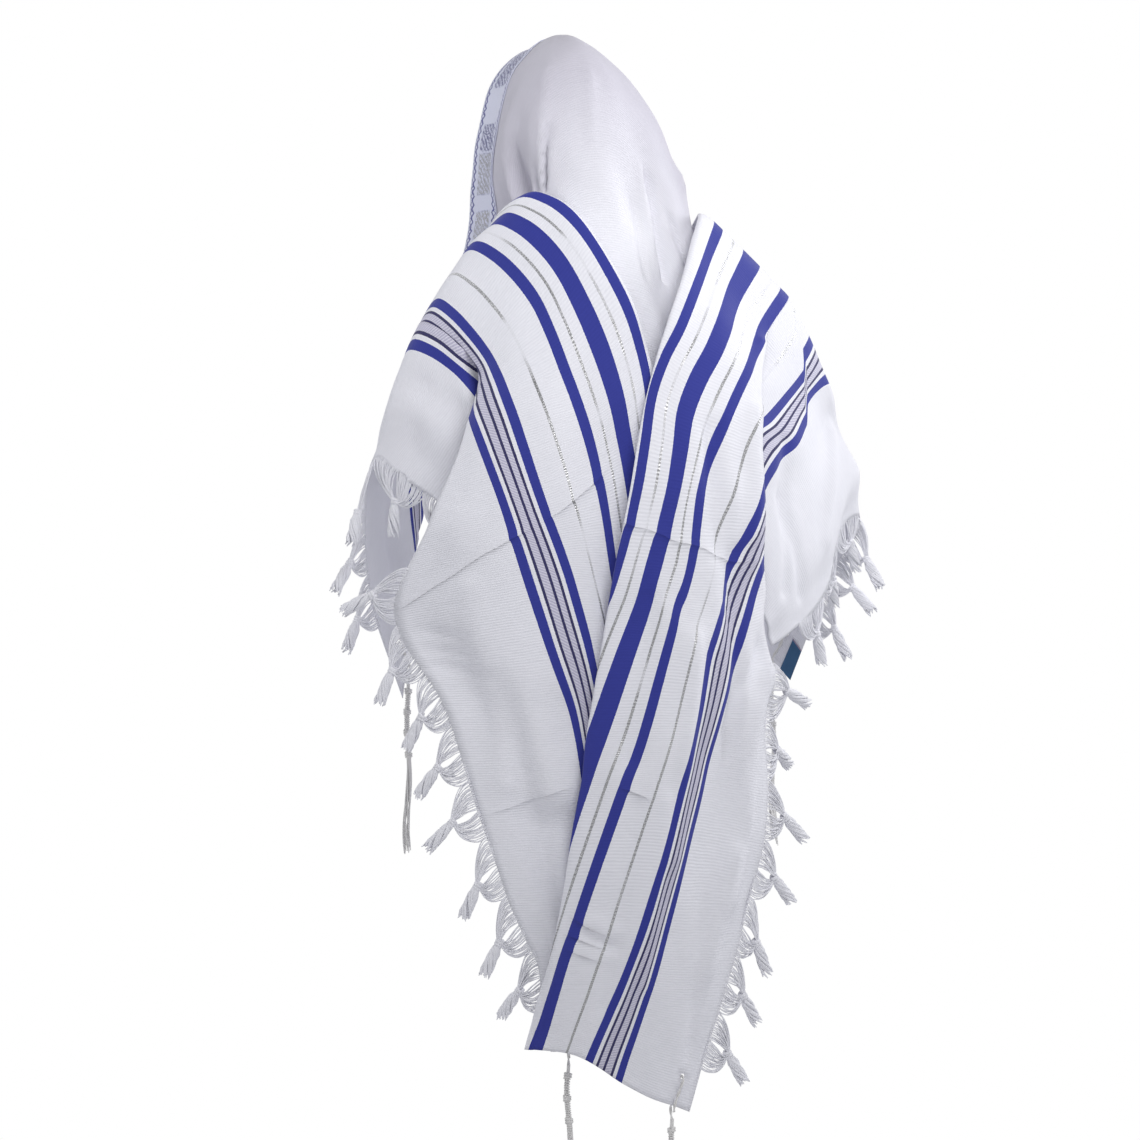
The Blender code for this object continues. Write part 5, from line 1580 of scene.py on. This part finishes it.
def surroundings(ahead):
    """Light from all round, with a brighter backdrop straight ahead."""
    world = bpy.data.worlds.new("studio")
    air = Nodes(world)
    toward = air.add("TexCoord", output="Generated")
    rise = air.scaled(air.add("SeparateXYZ", {0: toward}, output=2), 0.5, 0.5)
    sky = air.ramp(rise, [(at, seen(SKY_TINT, light)) for at, light in SKY], "LINEAR")
    facing = air.add("VectorMath", {0: toward, 1: ahead}, output="Value",
                     operation="DOT_PRODUCT")
    light, full, none = BACKDROP
    patch = air.span(facing, math.cos(none), math.cos(full))
    air.fill(air.tree.nodes["Background"].inputs["Color"],
             air.mix(patch, sky, seen((light, light, light))))
    return world


def main_camera(stage, ahead, right):
    """The camera, level and looking straight ahead."""
    lens = bpy.data.cameras.new("camera")
    lens.angle = stage.spread
    camera = bpy.data.objects.new("camera", lens)
    camera.location = right * stage.shift - ahead * stage.distance
    camera.location.z = stage.height
    camera.rotation_euler = ahead.to_track_quat("-Z", "Y").to_euler()
    return camera


class SHAWL_OT_stage(bpy.types.Operator):
    """Sets the pale floor, its backdrop, the soft lights and the camera"""

    bl_idname = "shawl.stage"
    bl_label = "Stage"

    def execute(self, context):
        scene = context.scene
        stage = scene.shawl_stage
        ahead = Vector((math.sin(stage.turn), math.cos(stage.turn), 0.0))
        right = Vector((math.cos(stage.turn), -math.sin(stage.turn), 0.0))
        floor = round_floor(stage)
        for light in LIGHTS:
            scene.collection.objects.link(lamp(ahead, right, *light))
        scene.world = surroundings(ahead)
        scene.camera = main_camera(stage, ahead, right)
        scene.collection.objects.link(scene.camera)
        scene.view_settings.view_transform = "Standard"
        return {"FINISHED"}


OPERATORS = (SHAWL_OT_cloth, SHAWL_OT_neckband, SHAWL_OT_fringe, SHAWL_OT_corner_threads,
             SHAWL_OT_tag, SHAWL_OT_stage)


class SHAWL_PT_panel(bpy.types.Panel):
    """Lists the shawl's pieces"""

    bl_idname = "SHAWL_PT_panel"
    bl_label = "Prayer Shawl"
    bl_space_type = "VIEW_3D"
    bl_region_type = "UI"
    bl_category = "Shawl"

    def draw(self, context):
        column = self.layout.column()
        for operator in OPERATORS:
            column.operator(operator.bl_idname)
        for group in (context.scene.shawl_cloth, context.scene.shawl_fringe,
                      context.scene.shawl_stage):
            for key in group.__annotations__:
                column.prop(group, key)


CLASSES = (ShawlCloth, ShawlFringe, ShawlStage, *OPERATORS, SHAWL_PT_panel)


def register():
    for item in CLASSES:
        bpy.utils.register_class(item)
    bpy.types.Scene.shawl_cloth = PointerProperty(type=ShawlCloth)
    bpy.types.Scene.shawl_fringe = PointerProperty(type=ShawlFringe)
    bpy.types.Scene.shawl_stage = PointerProperty(type=ShawlStage)


def unregister():
    del bpy.types.Scene.shawl_stage
    del bpy.types.Scene.shawl_fringe
    del bpy.types.Scene.shawl_cloth
    for item in reversed(CLASSES):
        bpy.utils.unregister_class(item)


def main():
    register()
    for name in ("stage", "cloth", "neckband", "fringe", "corner_threads", "tag"):
        getattr(bpy.ops.shawl, name)()


if __name__ == "__main__":
    main()
